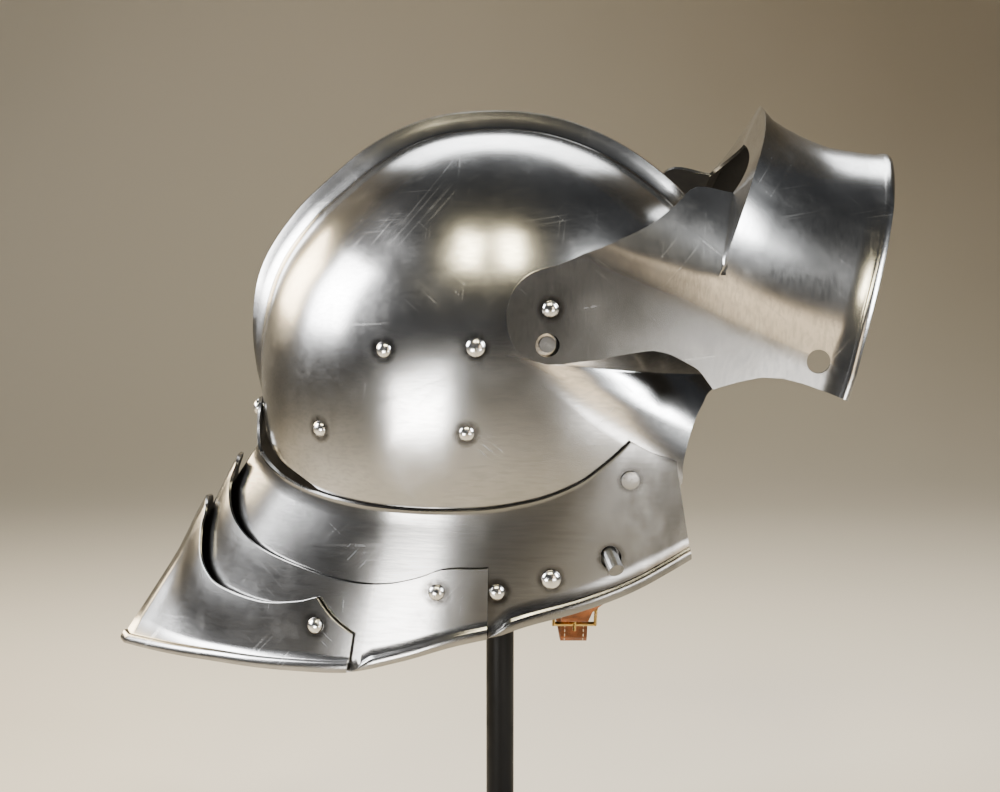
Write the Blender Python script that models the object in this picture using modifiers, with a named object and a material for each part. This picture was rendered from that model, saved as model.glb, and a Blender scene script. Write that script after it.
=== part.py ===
"""A visored sallet with a comb and a three-lame tail, on a plain pole stand.

The face looks towards +X, the wearer's left is +Y and the stand's foot is at Z = 0.
The visor is raised and the tail lames hang at rest.
"""
import math

import bmesh
import bpy
from mathutils import Matrix, Vector
from mathutils.bvhtree import BVHTree

MM = 0.001

# Plates and clearances
PLATE = 1.6 * MM
LAP_GAP = 0.9 * MM
SEAT_GAP = 0.3 * MM
SHARP_ANGLE = math.radians(35)

# Bowl, measured from the ear point on its widest level
EAR_HEIGHT = 305 * MM
BOWL_HALF_WIDTH = 102 * MM
BOWL_REACH = 130 * MM
COMB_HEIGHT = 9.5 * MM
COMB_HALF_BASE = 9.5 * MM
COMB_HALF_TOP = 1.5 * MM
HIP_DROP = 81.6 * MM

# Tail and skirt
TAIL_REACH = 198.6 * MM
TAIL_DROP = 171.5 * MM
CHEEK_REACH = 94.8 * MM
RIM_HALF_WIDTH = 97 * MM
CHEEK_HALF_WIDTH = 85 * MM
RIM_WIDEST_X = -8 * MM
BACK_STANDOFF = 4 * MM
LAME_LIFT = 3.4 * MM
RIM_BAND = 7 * MM
RIM_ROLL = 1.5 * MM
COLLAR = 2 * MM
TAB_HEIGHT = 24 * MM
TAB_SHARE = 0.09
STANDOFF_END = 0.42
LIFT_END = 0.45
LIFT_DEPTH = 0.3
FRONT_ROLL_START = 0.662
MIDDLE_ROLL_START = 0.485
ROLL_RAMP = 0.03

# Visor, measured from its pivot with the visor lowered
VISOR_LIFT = math.radians(64.5)
VISOR_REACH = 130.7 * MM
VISOR_EDGE_REACH = 109.3 * MM
VISOR_DROP = 149.5 * MM
VISOR_CENTRE = 26 * MM
VISOR_TAPER = 4 * MM
VISOR_RIM_BAND = 5 * MM
VISOR_RIM_ROLL = 1.1 * MM
VISOR_KEEL = 1.1
VISOR_TEMPLE_SWELL = 5 * MM
VISOR_GAP = 0.4 * MM

# Rivets and catches
DOME_RADIUS = 4.1 * MM
DOME_HEIGHT = 2.7 * MM
SHANK_RADIUS = 1.8 * MM
INNER_HEAD_RADIUS = 3.6 * MM
INNER_HEAD_HEIGHT = 1.4 * MM
FLAT_RADIUS = 4.6 * MM
FLAT_HEIGHT = 1.5 * MM
SPRING_DOME_RADIUS = 5 * MM
STUD_RADIUS = 3.95 * MM
STUD_HOLE_RADIUS = 5.2 * MM
CATCH_HOLE_RADIUS = 5.8 * MM
PIN_LENGTH = 9 * MM
PIN_LEAN_FORWARD = 0.25
PIN_LEAN_DOWN = 0.65
LEAF_WIDTH = 11 * MM
LEAF_THICKNESS = 1 * MM
LEAF_STANDOFF = 2 * MM
LEAF_END = 6.5 * MM
PIVOT_GAP = 0.5 * MM
SLANT_GAP = 1.5 * MM
HOLE_REACH = 13 * MM
ROUND_SIDES = 10
HOLE_SIDES = 16
POLE_SIDES = 16
BASE_SIDES = 32

# Chin strap and buckle
STRAP_WIDTH = 14 * MM
STRAP_THICKNESS = 2.2 * MM
BUCKLE_WIRE = 1.3 * MM
BUCKLE_WIDTH = 22 * MM
BUCKLE_LENGTH = 15 * MM
FOLD_LEAD = 6 * MM
FOLD_END = 13 * MM
FREE_END = 24 * MM
FREE_END_DRIFT = 7 * MM

# Stand
POLE_RADIUS = 7.4 * MM
BASE_RADIUS = 110 * MM
BASE_THICKNESS = 8 * MM
BASE_EDGE = 1.5 * MM
CAP_RADIUS = 34 * MM
CAP_THICKNESS = 9 * MM
CAP_GAP = 0.4 * MM

# columns: angle round the ear (degrees), reach of the bowl as a share of BOWL_REACH
BOWL_OUTLINE = (
    (-9.5, 0.975), (0, 0.950), (20, 0.882), (36, 0.842), (50, 0.816), (70, 0.799),
    (90, 0.795), (110, 0.808), (135, 0.820), (150, 0.859), (165, 0.909), (180, 0.945),
    (196, 0.995), (208, 1.055), (225, 1.19), (245, 1.36), (270, 1.50), (300, 1.66),
    (322, 1.64), (336, 1.36), (344, 1.13), (350.5, 0.975))

# columns: angle round the ear (degrees), height of the comb as a share of COMB_HEIGHT
COMB_RUN = (
    (-9.5, 0.30), (20, 0.90), (60, 0.95), (90, 0.95), (135, 1.10), (165, 1.05),
    (180, 0.70), (190, 0.30), (198, 0.0), (350.5, 0.0))

# columns: reach as a share of BOWL_REACH, drop below the ear as a share of HIP_DROP
BOWL_LOWER_EDGE = (
    (1.20, 0.235), (0.970, 0.240), (0.818, 0.288), (0.773, 0.360), (0.735, 0.457),
    (0.708, 0.588), (0.692, 0.711), (0.685, 0.821), (0.615, 0.870), (0.438, 0.919),
    (0.277, 1.029), (0.0, 1.140), (-0.162, 1.152), (-0.446, 1.121), (-0.600, 1.054),
    (-0.690, 0.928), (-0.765, 0.858), (-0.888, 0.763), (-0.954, 0.625), (-0.977, 0.582),
    (-1.20, 0.540))

# columns: share round the skirt from the back, hip reach (of BOWL_REACH), hip drop (of
# HIP_DROP), rim reach (of TAIL_REACH behind and CHEEK_REACH in front), rim drop (of TAIL_DROP)
SKIRT = (
    (0.00, -0.978, 0.754, -1.000, 1.000), (0.05, -0.974, 0.760, -0.952, 0.998),
    (0.10, -0.954, 0.797, -0.894, 0.994), (0.16, -0.917, 0.846, -0.821, 0.988),
    (0.24, -0.838, 0.907, -0.720, 0.978), (0.32, -0.746, 0.946, -0.614, 0.971),
    (0.40, -0.631, 0.975, -0.504, 0.961), (0.48, -0.485, 0.995, -0.383, 0.948),
    (0.56, -0.308, 1.000, -0.247, 0.904), (0.64, -0.108, 0.990, -0.091, 0.845),
    (0.72, 0.108, 0.934, 0.116, 0.799), (0.80, 0.292, 0.821, 0.390, 0.759),
    (0.86, 0.415, 0.674, 0.591, 0.723), (0.90, 0.491, 0.560, 0.728, 0.692),
    (0.95, 0.585, 0.645, 0.865, 0.653), (1.00, 0.666, 0.691, 1.000, 0.612))
CHEEK_POINT = 0.90

# columns: share round the skirt, share of the way from hip to rim
FRONT_LAME_HEM = (
    (0.00, 0.32), (0.10, 0.44), (0.25, 0.53), (0.40, 0.60), (0.52, 0.66), (0.58, 0.72),
    (0.62, 0.84), (0.645, 1.0))
MIDDLE_LAME_EDGE = (
    (0.00, 0.085), (0.03, 0.11), (0.075, 0.20), (0.115, 0.26), (0.155, 0.30), (0.235, 0.355),
    (0.355, 0.40), (0.445, 0.44), (0.525, 0.455), (0.575, 0.43), (0.605, 0.395), (0.66, 0.43))
MIDDLE_LAME_HEM = (
    (0.00, 0.50), (0.10, 0.68), (0.25, 0.78), (0.36, 0.81), (0.42, 0.86), (0.46, 1.0))
REAR_LAME_EDGE = (
    (0.00, 0.30), (0.03, 0.33), (0.07, 0.42), (0.10, 0.50), (0.14, 0.565), (0.19, 0.61),
    (0.29, 0.63), (0.375, 0.59), (0.41, 0.55), (0.44, 0.65), (0.485, 0.76))
REAR_LAME_POINT = 0.41

# columns: plan angle (degrees), ridge drop and rim drop as shares of VISOR_DROP
VISOR_FRONT = (
    (0, 0.400, 0.877), (10, 0.408, 0.878), (20, 0.415, 0.882), (29, 0.421, 0.890),
    (38, 0.424, 0.902), (46, 0.425, 0.912), (54, 0.430, 0.924), (62, 0.435, 0.936),
    (70, 0.440, 0.950), (78, 0.444, 0.968))
BROW_COLUMN = 5
BROW_NARROWING = 0.945
# columns: upper edge reach (of VISOR_REACH), upper edge drop (of VISOR_DROP), share of the
# valley from the brow corner to the notch, for the columns behind the brow corner
VISOR_TEMPLE = ((0.624, 0.272, 0.16), (0.536, 0.228, 0.46), (0.436, 0.178, 0.76), (0.314, 0.089, 1.0))
# line where the face meets the side: reach and drop of its upper end, then of its lower end
VISOR_SIDE_LINE = (0.236, 0.022, 0.262, 0.988)
# columns: drop below the pivot as a share of VISOR_DROP, reach as a share of VISOR_REACH
VISOR_ARM_TOP = (
    (-0.133, -0.015), (-0.131, 0.015), (-0.124, 0.046), (-0.112, 0.076), (-0.094, 0.103),
    (-0.067, 0.130), (-0.045, 0.151), (-0.029, 0.168), (0.022, 0.236))
VISOR_REAR_EDGE = (
    (-0.133, -0.015), (-0.127, -0.061), (-0.110, -0.112), (-0.080, -0.158), (-0.040, -0.191),
    (0.020, -0.201), (0.082, -0.188), (0.136, -0.148), (0.211, -0.095), (0.300, -0.020),
    (0.395, 0.035), (0.490, 0.036), (0.589, -0.014), (0.635, 0.036), (0.760, 0.128),
    (0.885, 0.153), (1.000, 0.161))
VISOR_TIP_DROP = 0.589
VISOR_CREASE = 0.42
# columns: drop below the pivot as a share of VISOR_DROP, medial reach as a share of VISOR_REACH
VISOR_PROFILE = (
    (0.39, 1.000), (0.475, 0.969), (0.566, 0.9625), (0.65, 0.965), (0.727, 0.985),
    (0.80, 1.010), (0.877, 1.041), (1.05, 1.100))

# columns: reach and height from the ear as shares of BOWL_REACH
VISOR_PIVOT = (0.186, 0.172)
UPPER_STUD = (0.176, 0.036)
UPPER_SPRING_RIVET = (-0.090, 0.025)
BOWL_RIVETS = {"bowl_rivet_middle": (-0.433, 0.004), "bowl_rivet_rear": (-0.688, -0.325)}
STRAP_RIVET = (-0.124, -0.302)
# columns: share round the skirt, share of the way from hip to rim
CHEEK_RIVET = (0.895, 0.22)
SKIRT_RIVET = (0.675, 0.64)
LOWER_SPRING_RIVET = (0.762, 0.66)
LOWER_PIN = (0.857, 0.675)
MIDDLE_PIVOT = (0.600, 0.55)
REAR_PIVOT = (0.410, 0.71)
BACK_RIVET_LIFT = 19 * MM

EAR = Vector((0, 0, EAR_HEIGHT))
SIDES = {"right": -1, "left": 1}


def read_row(rows, key, column, corners=()):
    """Value of a table's column at a key, on a smooth curve that turns sharply at corners."""
    keys = [row[0] for row in rows]
    key = min(max(key, keys[0]), keys[-1])
    last = len(rows) - 1
    first = max(i for i in range(last) if keys[i] <= key)
    span = keys[first + 1] - keys[first]

    def rise(i):
        return (rows[i + 1][column] - rows[i][column]) / (keys[i + 1] - keys[i])

    def slope(i, inner):
        if i == 0 or i == last or keys[i] in corners:
            return rise(inner)
        before, after = rise(i - 1), rise(i)
        return 0.0 if before * after <= 0 else 2 * before * after / (before + after)

    t = (key - keys[first]) / span
    start, end = rows[first][column], rows[first + 1][column]
    m0, m1 = slope(first, first) * span, slope(first + 1, first) * span
    return ((2 * t**3 - 3 * t**2 + 1) * start + (t**3 - 2 * t**2 + t) * m0
            + (3 * t**2 - 2 * t**3) * end + (t**3 - t**2) * m1)


def ease(share):
    """Smooth step from 0 to 1."""
    share = min(max(share, 0.0), 1.0)
    return share * share * (3 - 2 * share)


def bowl_angle(degrees):
    return (degrees - BOWL_OUTLINE[0][0]) % 360 + BOWL_OUTLINE[0][0]


def bowl_reach(degrees):
    """Distance from the ear to the bowl's outer face in the medial plane, without the comb."""
    return BOWL_REACH * read_row(BOWL_OUTLINE, bowl_angle(degrees), 1)


def bowl_depth(x, z, grow=0.0):
    """Half width of the bowl at a place in the side view, on a face moved out by grow."""
    dx, dz = x - EAR.x, z - EAR.z
    reach = bowl_reach(math.degrees(math.atan2(dz, dx))) + grow
    return (BOWL_HALF_WIDTH + grow) * math.sqrt(max(0.0, 1 - (dx * dx + dz * dz) / reach**2))


def bowl_back(y, z, grow):
    """Place along X of the bowl's back, on a face moved out by grow."""
    x = -BOWL_REACH
    for _ in range(6):
        reach = bowl_reach(math.degrees(math.atan2(z - EAR.z, x))) + grow
        level = reach * reach * (1 - (y / (BOWL_HALF_WIDTH + grow))**2) - (z - EAR.z)**2
        x = -math.sqrt(max(0.0, level))
    return x


def comb_rise(degrees, depth):
    """How far the comb lifts the bowl's face at a distance from the medial plane."""
    side = (abs(depth) - COMB_HALF_TOP) / (COMB_HALF_BASE - COMB_HALF_TOP)
    return COMB_HEIGHT * read_row(COMB_RUN, bowl_angle(degrees), 1) * (1 - ease(side))


def bowl_point(degrees, latitude):
    """Point of the right half of the bowl; latitude 0 is the ear and 90 the medial plane."""
    depth = BOWL_HALF_WIDTH * math.cos(math.radians(latitude))
    reach = bowl_reach(degrees) * math.sin(math.radians(latitude)) + comb_rise(degrees, depth)
    a = math.radians(degrees)
    return EAR + Vector((reach * math.cos(a), -depth if latitude < 90 else 0.0, reach * math.sin(a)))


def rim_depth(x):
    """Half width of the skirt's rim: a parabola to the tail's tip and a soft curve forward."""
    if x < RIM_WIDEST_X:
        share = (RIM_WIDEST_X - x) / (RIM_WIDEST_X + TAIL_REACH)
        return RIM_HALF_WIDTH * max(0.0, 1 - share * share)
    share = (x - RIM_WIDEST_X) / (CHEEK_REACH - RIM_WIDEST_X)
    return RIM_HALF_WIDTH - (RIM_HALF_WIDTH - CHEEK_HALF_WIDTH) * share * share


def skirt_point(around, down):
    """Outer face of the front lame, and of the cone that the other two lie on."""
    corners = (CHEEK_POINT,)
    hip_x = BOWL_REACH * read_row(SKIRT, around, 1, corners)
    hip_z = EAR.z - HIP_DROP * read_row(SKIRT, around, 2, corners)
    rim_share = read_row(SKIRT, around, 3)
    rim_x = rim_share * (TAIL_REACH if rim_share < 0 else CHEEK_REACH)
    rim_z = EAR.z - TAIL_DROP * read_row(SKIRT, around, 4)
    standoff = BACK_STANDOFF * (1 - ease(around / STANDOFF_END))
    hip_depth = bowl_depth(hip_x, hip_z, PLATE + LAP_GAP + standoff) if around > 0 else 0.0
    hip = Vector((hip_x, -hip_depth, hip_z))
    return hip.lerp(Vector((rim_x, -rim_depth(rim_x), rim_z)), down)


def skirt_normal(around, down):
    step = 0.002
    lower, upper = max(0.0, around - step), min(1.0, around + step)
    along = skirt_point(upper, down) - skirt_point(lower, down)
    across = skirt_point(around, down + step) - skirt_point(around, down - step)
    normal = across.cross(along).normalized()
    if around == 0:
        normal = Vector((normal.x, 0.0, normal.z)).normalized()
    return normal


def lame_column(around, top, bottom, offset, lift, rolled, steps):
    """Points of one lame from its upper edge to its hem, with the rolled rim at the hem."""
    length = (skirt_point(around, 1) - skirt_point(around, 0)).length
    band = RIM_BAND / length
    body_end = bottom - band * rolled
    shares = [(top + (body_end - top) * k / steps, 0.0) for k in range(steps + 1)]
    shares += [(body_end + band * rolled * k, roll * rolled) for k, roll in
               ((0.22, 0.85), (0.62, 1.0), (1.0, 0.35))]
    column = []
    for down, roll in shares:
        out = offset + roll * RIM_ROLL
        out += lift * (1 - ease(around / LIFT_END)) * (1 - ease((down - top) / LIFT_DEPTH))
        point = skirt_point(around, down) + skirt_normal(around, down) * out
        if around == 0:
            point.y = 0.0
        column.append(point)
    return column


def spread(start, end, count, extra=()):
    """Shares from start to end, evenly laid, with the extra ones put in."""
    even = [start + (end - start) * k / count for k in range(count + 1)]
    kept = [a for a in even if all(abs(a - b) > (end - start) / count * 0.3 for b in extra)]
    return sorted(set(kept + list(extra)))


def front_lame_columns(count=16, steps=4):
    columns = []
    for around in spread(0.0, 1.0, count, (CHEEK_POINT, 0.02, 0.67, 0.645, 1.0)):
        bottom = read_row(FRONT_LAME_HEM, around, 1)
        rolled = ease((around - FRONT_ROLL_START) / ROLL_RAMP)
        column = lame_column(around, 0.0, bottom, 0.0, 0.0, rolled, steps)
        hip = column[0]
        collar = COLLAR + (TAB_HEIGHT - COLLAR) * (1 - ease(around / TAB_SHARE))
        top = hip + Vector((0, 0, collar))
        grow = PLATE + LAP_GAP
        if around < TAB_SHARE:
            top.x = bowl_back(top.y, top.z, grow + BACK_STANDOFF * ease(around / TAB_SHARE))
        else:
            standoff = BACK_STANDOFF * (1 - ease(around / STANDOFF_END))
            top.y = -bowl_depth(top.x, top.z, grow + standoff)
        columns.append([top] + column)
    return columns


def middle_lame_columns(count=15, steps=3):
    offset = PLATE + LAP_GAP
    columns = []
    for around in spread(0.0, 0.665, count, (0.02, 0.605, 0.46, 0.49, 0.665)):
        top = read_row(MIDDLE_LAME_EDGE, around, 1)
        bottom = read_row(MIDDLE_LAME_HEM, around, 1)
        rolled = ease((around - MIDDLE_ROLL_START) / ROLL_RAMP)
        columns.append(lame_column(around, top, bottom, offset, LAME_LIFT, rolled, steps))
    return columns


def rear_lame_columns(count=12, steps=3):
    offset = 2 * (PLATE + LAP_GAP)
    columns = []
    for around in spread(0.0, 0.485, count, (0.02, REAR_LAME_POINT, 0.485)):
        top = read_row(REAR_LAME_EDGE, around, 1, (REAR_LAME_POINT,))
        columns.append(lame_column(around, top, 1.0, offset, LAME_LIFT, 1.0, steps))
    return columns


def visor_half_width(z):
    """Outer half width of the visor's sides; it narrows a little towards the chin."""
    return BOWL_HALF_WIDTH + PLATE + VISOR_GAP - VISOR_TAPER * ease(-z / VISOR_DROP)


def visor_point(plan_angle, z, reach=None):
    """Point of the visor's right half on its plan curve at a height from the pivot."""
    if reach is None:
        reach = VISOR_REACH * read_row(VISOR_PROFILE, -z / VISOR_DROP, 1)
    a = math.radians(plan_angle)
    x = VISOR_CENTRE + (reach - VISOR_CENTRE) * math.cos(a)
    depth = visor_half_width(z) * abs(math.sin(a)) ** VISOR_KEEL
    return Vector((x, -depth if plan_angle > 0 else 0.0, z))


def visor_depth(x, z, reach):
    """Half width of the visor at a place in its side view."""
    share = max(0.0, (x - VISOR_CENTRE) / (reach - VISOR_CENTRE))
    return visor_half_width(z) * math.sqrt(max(0.0, 1 - share * share))


def fill(start, end, count):
    return [start.lerp(end, k / count) for k in range(1, count + 1)]


def face_points(start_z, end_z, point_at, rolled, steps):
    """Column of the visor's face from the ridge to the lower edge, with its rolled rim."""
    band = VISOR_RIM_BAND * rolled
    body_end = end_z + band
    heights = [(start_z + (body_end - start_z) * k / steps, 0.0) for k in range(1, steps + 1)]
    heights += [(body_end - band * k, roll) for k, roll in ((0.25, 0.9), (0.65, 1.0), (1.0, 0.4))]
    column = []
    for z, roll in heights:
        point = point_at(z)
        outward = Vector((point.x - VISOR_CENTRE, point.y, 0)).normalized()
        if point.y == 0:
            outward = Vector((1, 0, 0))
        column.append(point + outward * roll * rolled * VISOR_RIM_ROLL)
    return column


def visor_face_columns(steps=4):
    """Columns of the visor's face, from the medial plane to the line where its side begins."""
    brow_angle = VISOR_FRONT[BROW_COLUMN][0]
    corner_z = -VISOR_DROP * 0.393
    corner = visor_point(brow_angle * BROW_NARROWING, corner_z, VISOR_EDGE_REACH)
    notch_angle, notch_drop, _ = VISOR_FRONT[-1]
    notch = visor_point(notch_angle, -VISOR_DROP * notch_drop, VISOR_REACH)
    columns = []
    for k, (angle, ridge_drop, rim_drop) in enumerate(VISOR_FRONT):
        ridge = visor_point(angle, -VISOR_DROP * ridge_drop, VISOR_REACH)
        if k <= BROW_COLUMN:
            edge_drop = 0.407 + 0.02 * math.sin(math.pi * k / BROW_COLUMN) - 0.014 * k / BROW_COLUMN
            edge = visor_point(angle * BROW_NARROWING, -VISOR_DROP * edge_drop, VISOR_EDGE_REACH)
            if k == BROW_COLUMN:
                edge = corner
            valley = edge
        else:
            reach, drop, share = VISOR_TEMPLE[k - BROW_COLUMN - 1]
            x, z = VISOR_REACH * reach, -VISOR_DROP * drop
            edge = Vector((x, -visor_depth(x, z, VISOR_EDGE_REACH * 0.965), z))
            valley = corner.lerp(notch, share)
            valley.y -= VISOR_TEMPLE_SWELL * math.sin(math.pi * share)
        column = [edge] + fill(edge, valley, 3) + fill(valley, ridge, 2)
        column += face_points(ridge.z, -VISOR_DROP * rim_drop,
                              lambda z, a=angle: visor_point(a, z), 1.0, steps)
        columns.append(column)
    top_z, low_z = -VISOR_DROP * VISOR_SIDE_LINE[1], -VISOR_DROP * VISOR_SIDE_LINE[3]
    crease_z = top_z + (low_z - top_z) * VISOR_CREASE
    column = [visor_side_line(top_z + (crease_z - top_z) * j / 3) for j in range(4)]
    column += [column[-1], column[-1]]
    columns.append(column + face_points(crease_z, low_z, visor_side_line, 1.0, steps))
    return columns


def visor_side_point(x, z):
    """Point of the visor's right side at a place in its side view."""
    reach = VISOR_REACH * read_row(VISOR_PROFILE, -z / VISOR_DROP, 1)
    return Vector((x, -visor_depth(x, z, reach), z))


def visor_side_line(z):
    """Point at a height on the line where the visor's face meets its side."""
    top_reach, top_drop, low_reach, low_drop = VISOR_SIDE_LINE
    share = (-z / VISOR_DROP - top_drop) / (low_drop - top_drop)
    return visor_side_point(VISOR_REACH * (top_reach + (low_reach - top_reach) * share), z)


def visor_side_columns(line, count=4, levels=(1.0, 0.97, 0.85, 0.6, 0.3)):
    """Columns of the visor's side, from its front line to the rear edge, with the arm on top."""
    crown, join, foot = VISOR_ARM_TOP[0][0], VISOR_SIDE_LINE[1], VISOR_SIDE_LINE[3]
    rows = []
    for level in levels:
        drop = join + (crown - join) * level
        front, rear = [Vector((VISOR_REACH * read_row(edge, drop, 1), 0, -VISOR_DROP * drop))
                       for edge in (VISOR_ARM_TOP, VISOR_REAR_EDGE)]
        rows.append((front, rear, Vector()))
    shares = [(-point.z / VISOR_DROP - join) / (foot - join) for point in line]
    tip = min(shares, key=lambda share: abs(share - VISOR_TIP_DROP))
    for point, share in zip(line, shares):
        if share <= tip:
            drop = join + (VISOR_TIP_DROP - join) * share / tip
        else:
            drop = VISOR_TIP_DROP + (1 - VISOR_TIP_DROP) * (share - tip) / (1 - tip)
        reach = read_row(VISOR_REAR_EDGE, drop, 1, (VISOR_TIP_DROP,))
        base = visor_side_line(point.z)
        rows.append((base, Vector((VISOR_REACH * reach, 0, -VISOR_DROP * drop)), point - base))
    columns = []
    for k in range(count + 1):
        places = [(front.lerp(rear, k / count), roll) for front, rear, roll in rows]
        columns.append([visor_side_point(place.x, place.z) + roll for place, roll in places])
    return columns


def material(name, colour, metallic, roughness):
    made = bpy.data.materials.new(name)
    made.use_nodes = True
    shader = made.node_tree.nodes["Principled BSDF"]
    shader.inputs["Base Color"].default_value = (*colour, 1)
    shader.inputs["Metallic"].default_value = metallic
    shader.inputs["Roughness"].default_value = roughness
    return made


def add_object(name, mesh, collection, finish=None):
    made = bpy.data.objects.new(name, mesh)
    collection.objects.link(made)
    if finish:
        mesh.materials.append(finish)
    return made


def sheet_mesh(name, patches, inside):
    """Mesh of quads through patches of columns of points, facing away from the point inside."""
    bm = bmesh.new()
    found = {}

    def vertex(point):
        key = tuple(round(c / (0.01 * MM)) for c in point)
        if key not in found:
            found[key] = bm.verts.new(point)
        return found[key]

    pairs = [pair for columns in patches for pair in zip(columns, columns[1:])]
    for left, right in pairs:
        for k in range(len(left) - 1):
            ring = [vertex(p) for p in (left[k], right[k], right[k + 1], left[k + 1])]
            corners = [v for i, v in enumerate(ring) if v is not ring[i - 1]]
            if len(set(corners)) > 2:
                bm.faces.new(corners)
    bm.normal_update()
    outward = sum(f.normal.dot(f.calc_center_median() - inside) * f.calc_area() for f in bm.faces)
    if outward < 0:
        bmesh.ops.reverse_faces(bm, faces=bm.faces)
    mesh = bpy.data.meshes.new(name)
    bm.to_mesh(mesh)
    bm.free()
    mesh.shade_smooth()
    mesh.set_sharp_from_angle(angle=SHARP_ANGLE)
    return mesh


def plate(name, patches, inside, collection, finish):
    """Sheet-metal piece: a right half mirrored and given the plate's thickness inward."""
    made = add_object(name, sheet_mesh(name, patches, inside), collection, finish)
    mirror = made.modifiers.new("both sides", "MIRROR")
    mirror.use_axis = (False, True, False)
    mirror.merge_threshold = 0.1 * MM
    skin = made.modifiers.new("thickness", "SOLIDIFY")
    skin.thickness = PLATE
    skin.offset = -1
    return made


def outline_cutter(name, outline, half_width, collection):
    """Prism along Y over an outline of the side view."""
    curve = bpy.data.curves.new(name, "CURVE")
    curve.dimensions = "2D"
    curve.fill_mode = "BOTH"
    curve.extrude = half_width
    spline = curve.splines.new("POLY")
    spline.points.add(len(outline) - 1)
    for point, (x, z) in zip(spline.points, outline):
        point.co = (x, z, 0, 1)
    spline.use_cyclic_u = True
    drawn = bpy.data.objects.new(name, curve)
    collection.objects.link(drawn)
    drawn.rotation_euler = (math.radians(90), 0, 0)
    bpy.context.view_layer.update()
    solid = bpy.data.meshes.new_from_object(drawn.evaluated_get(bpy.context.evaluated_depsgraph_get()))
    bm = bmesh.new()
    bm.from_mesh(solid)
    bmesh.ops.remove_doubles(bm, verts=bm.verts, dist=0.01 * MM)
    bmesh.ops.recalc_face_normals(bm, faces=bm.faces)
    bm.to_mesh(solid)
    bm.free()
    cutter = add_cutter(name + "_cut", solid, collection)
    cutter.matrix_world = drawn.matrix_world
    bpy.data.objects.remove(drawn)
    return cutter


def add_cutter(name, mesh, collection):
    cutter = add_object(name, mesh, collection)
    cutter.hide_render = True
    cutter.display_type = "WIRE"
    return cutter


def cut(target, cutter, operation="DIFFERENCE"):
    modifier = target.modifiers.new(cutter.name, "BOOLEAN")
    modifier.operation = operation
    modifier.object = cutter
    modifier.solver = "EXACT"


def hole_cutter(name, places, collection):
    """Joined cylinders; places holds a centre, an axis, a radius and a half length each."""
    bm = bmesh.new()
    for centre, axis, radius, half_length in places:
        turn = axis.to_track_quat("Z", "Y").to_matrix().to_4x4()
        sides = ROUND_SIDES if radius < STUD_RADIUS else HOLE_SIDES
        bmesh.ops.create_cone(bm, cap_ends=True, segments=sides, radius1=radius, radius2=radius,
                              depth=2 * half_length, matrix=Matrix.Translation(centre) @ turn)
    mesh = bpy.data.meshes.new(name)
    bm.to_mesh(mesh)
    bm.free()
    return add_cutter(name, mesh, collection)


def face_tree(*objects):
    """Search tree over the evaluated faces of objects, in world space."""
    bpy.context.view_layer.update()
    depsgraph = bpy.context.evaluated_depsgraph_get()
    points, faces = [], []
    for each in objects:
        ready = each.evaluated_get(depsgraph)
        mesh = ready.to_mesh()
        start = len(points)
        points += [each.matrix_world @ v.co for v in mesh.vertices]
        faces += [[start + i for i in polygon.vertices] for polygon in mesh.polygons]
        ready.to_mesh_clear()
    return BVHTree.FromPolygons(points, faces)


def seat(tree, start, direction):
    """Outer face hit from a start point: its place and its normal towards the start."""
    place, normal, _, _ = tree.ray_cast(start, direction)
    return place, normal if normal.dot(direction) < 0 else -normal


def plate_depth(tree, place, normal, limit=14 * MM):
    """How deep the plates reach behind a place on the outer face."""
    start = place + normal * MM
    travelled, deepest = 0.0, 0.0
    while True:
        hit, _, _, distance = tree.ray_cast(start, -normal)
        if hit is None or travelled + distance - MM > limit:
            return deepest
        travelled += distance
        deepest = travelled - MM
        start = hit - normal * 0.02 * MM
        travelled += 0.02 * MM


def turned(name, profile, place, axis, collection, finish, sides=ROUND_SIDES):
    """Turned piece: a profile of radius and height from top to bottom, its top along axis."""
    mesh = bpy.data.meshes.new(name)
    mesh.from_pydata([(r, 0, h) for r, h in profile], [(k, k + 1) for k in range(len(profile) - 1)], [])
    made = add_object(name, mesh, collection, finish)
    screw = made.modifiers.new("turn", "SCREW")
    screw.axis = "Z"
    screw.steps = screw.render_steps = sides
    screw.use_merge_vertices = True
    screw.merge_threshold = 0.01 * MM
    screw.use_smooth_shade = True
    made.rotation_mode = "QUATERNION"
    made.rotation_quaternion = axis.to_track_quat("Z", "Y")
    made.location = place
    return made


def rivet_profile(depth, radius=DOME_RADIUS, height=DOME_HEIGHT, flat=False,
                  under=SEAT_GAP, inner_gap=SEAT_GAP):
    """Head, shank and inner head of a rivet through plates of a given depth."""
    if flat:
        head = [(0, height), (radius * 0.9, height), (radius, under)]
    else:
        head = [(radius * math.sin(a), under + height * math.cos(a))
                for a in (0.0, math.radians(35), math.radians(63))] + [(radius, under)]
    end = -depth - inner_gap
    return head + [(SHANK_RADIUS, under), (SHANK_RADIUS, end), (INNER_HEAD_RADIUS, end),
                   (0, end - INNER_HEAD_HEIGHT)]


def side_of_bowl(reach, height):
    return EAR.x + BOWL_REACH * reach, EAR.z + BOWL_REACH * height


def side_of_skirt(around, down):
    point = skirt_point(around, down)
    return point.x, point.z


def bend(route, straight_from=None):
    """Smooth curve through a route's points; from an index on they are kept straight."""
    last = len(route) - 1
    straight_from = last if straight_from is None else straight_from
    smooth = []
    for k in range(straight_from):
        before, start = route[max(k - 1, 0)], route[k]
        end, after = route[k + 1], route[min(k + 2, last)]
        for t in (0.0, 0.5):
            smooth.append(0.5 * (2 * start + (end - before) * t
                                 + (2 * before - 5 * start + 4 * end - after) * t**2
                                 + (3 * start - before - 3 * end + after) * t**3))
    return smooth + route[straight_from:]


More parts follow.
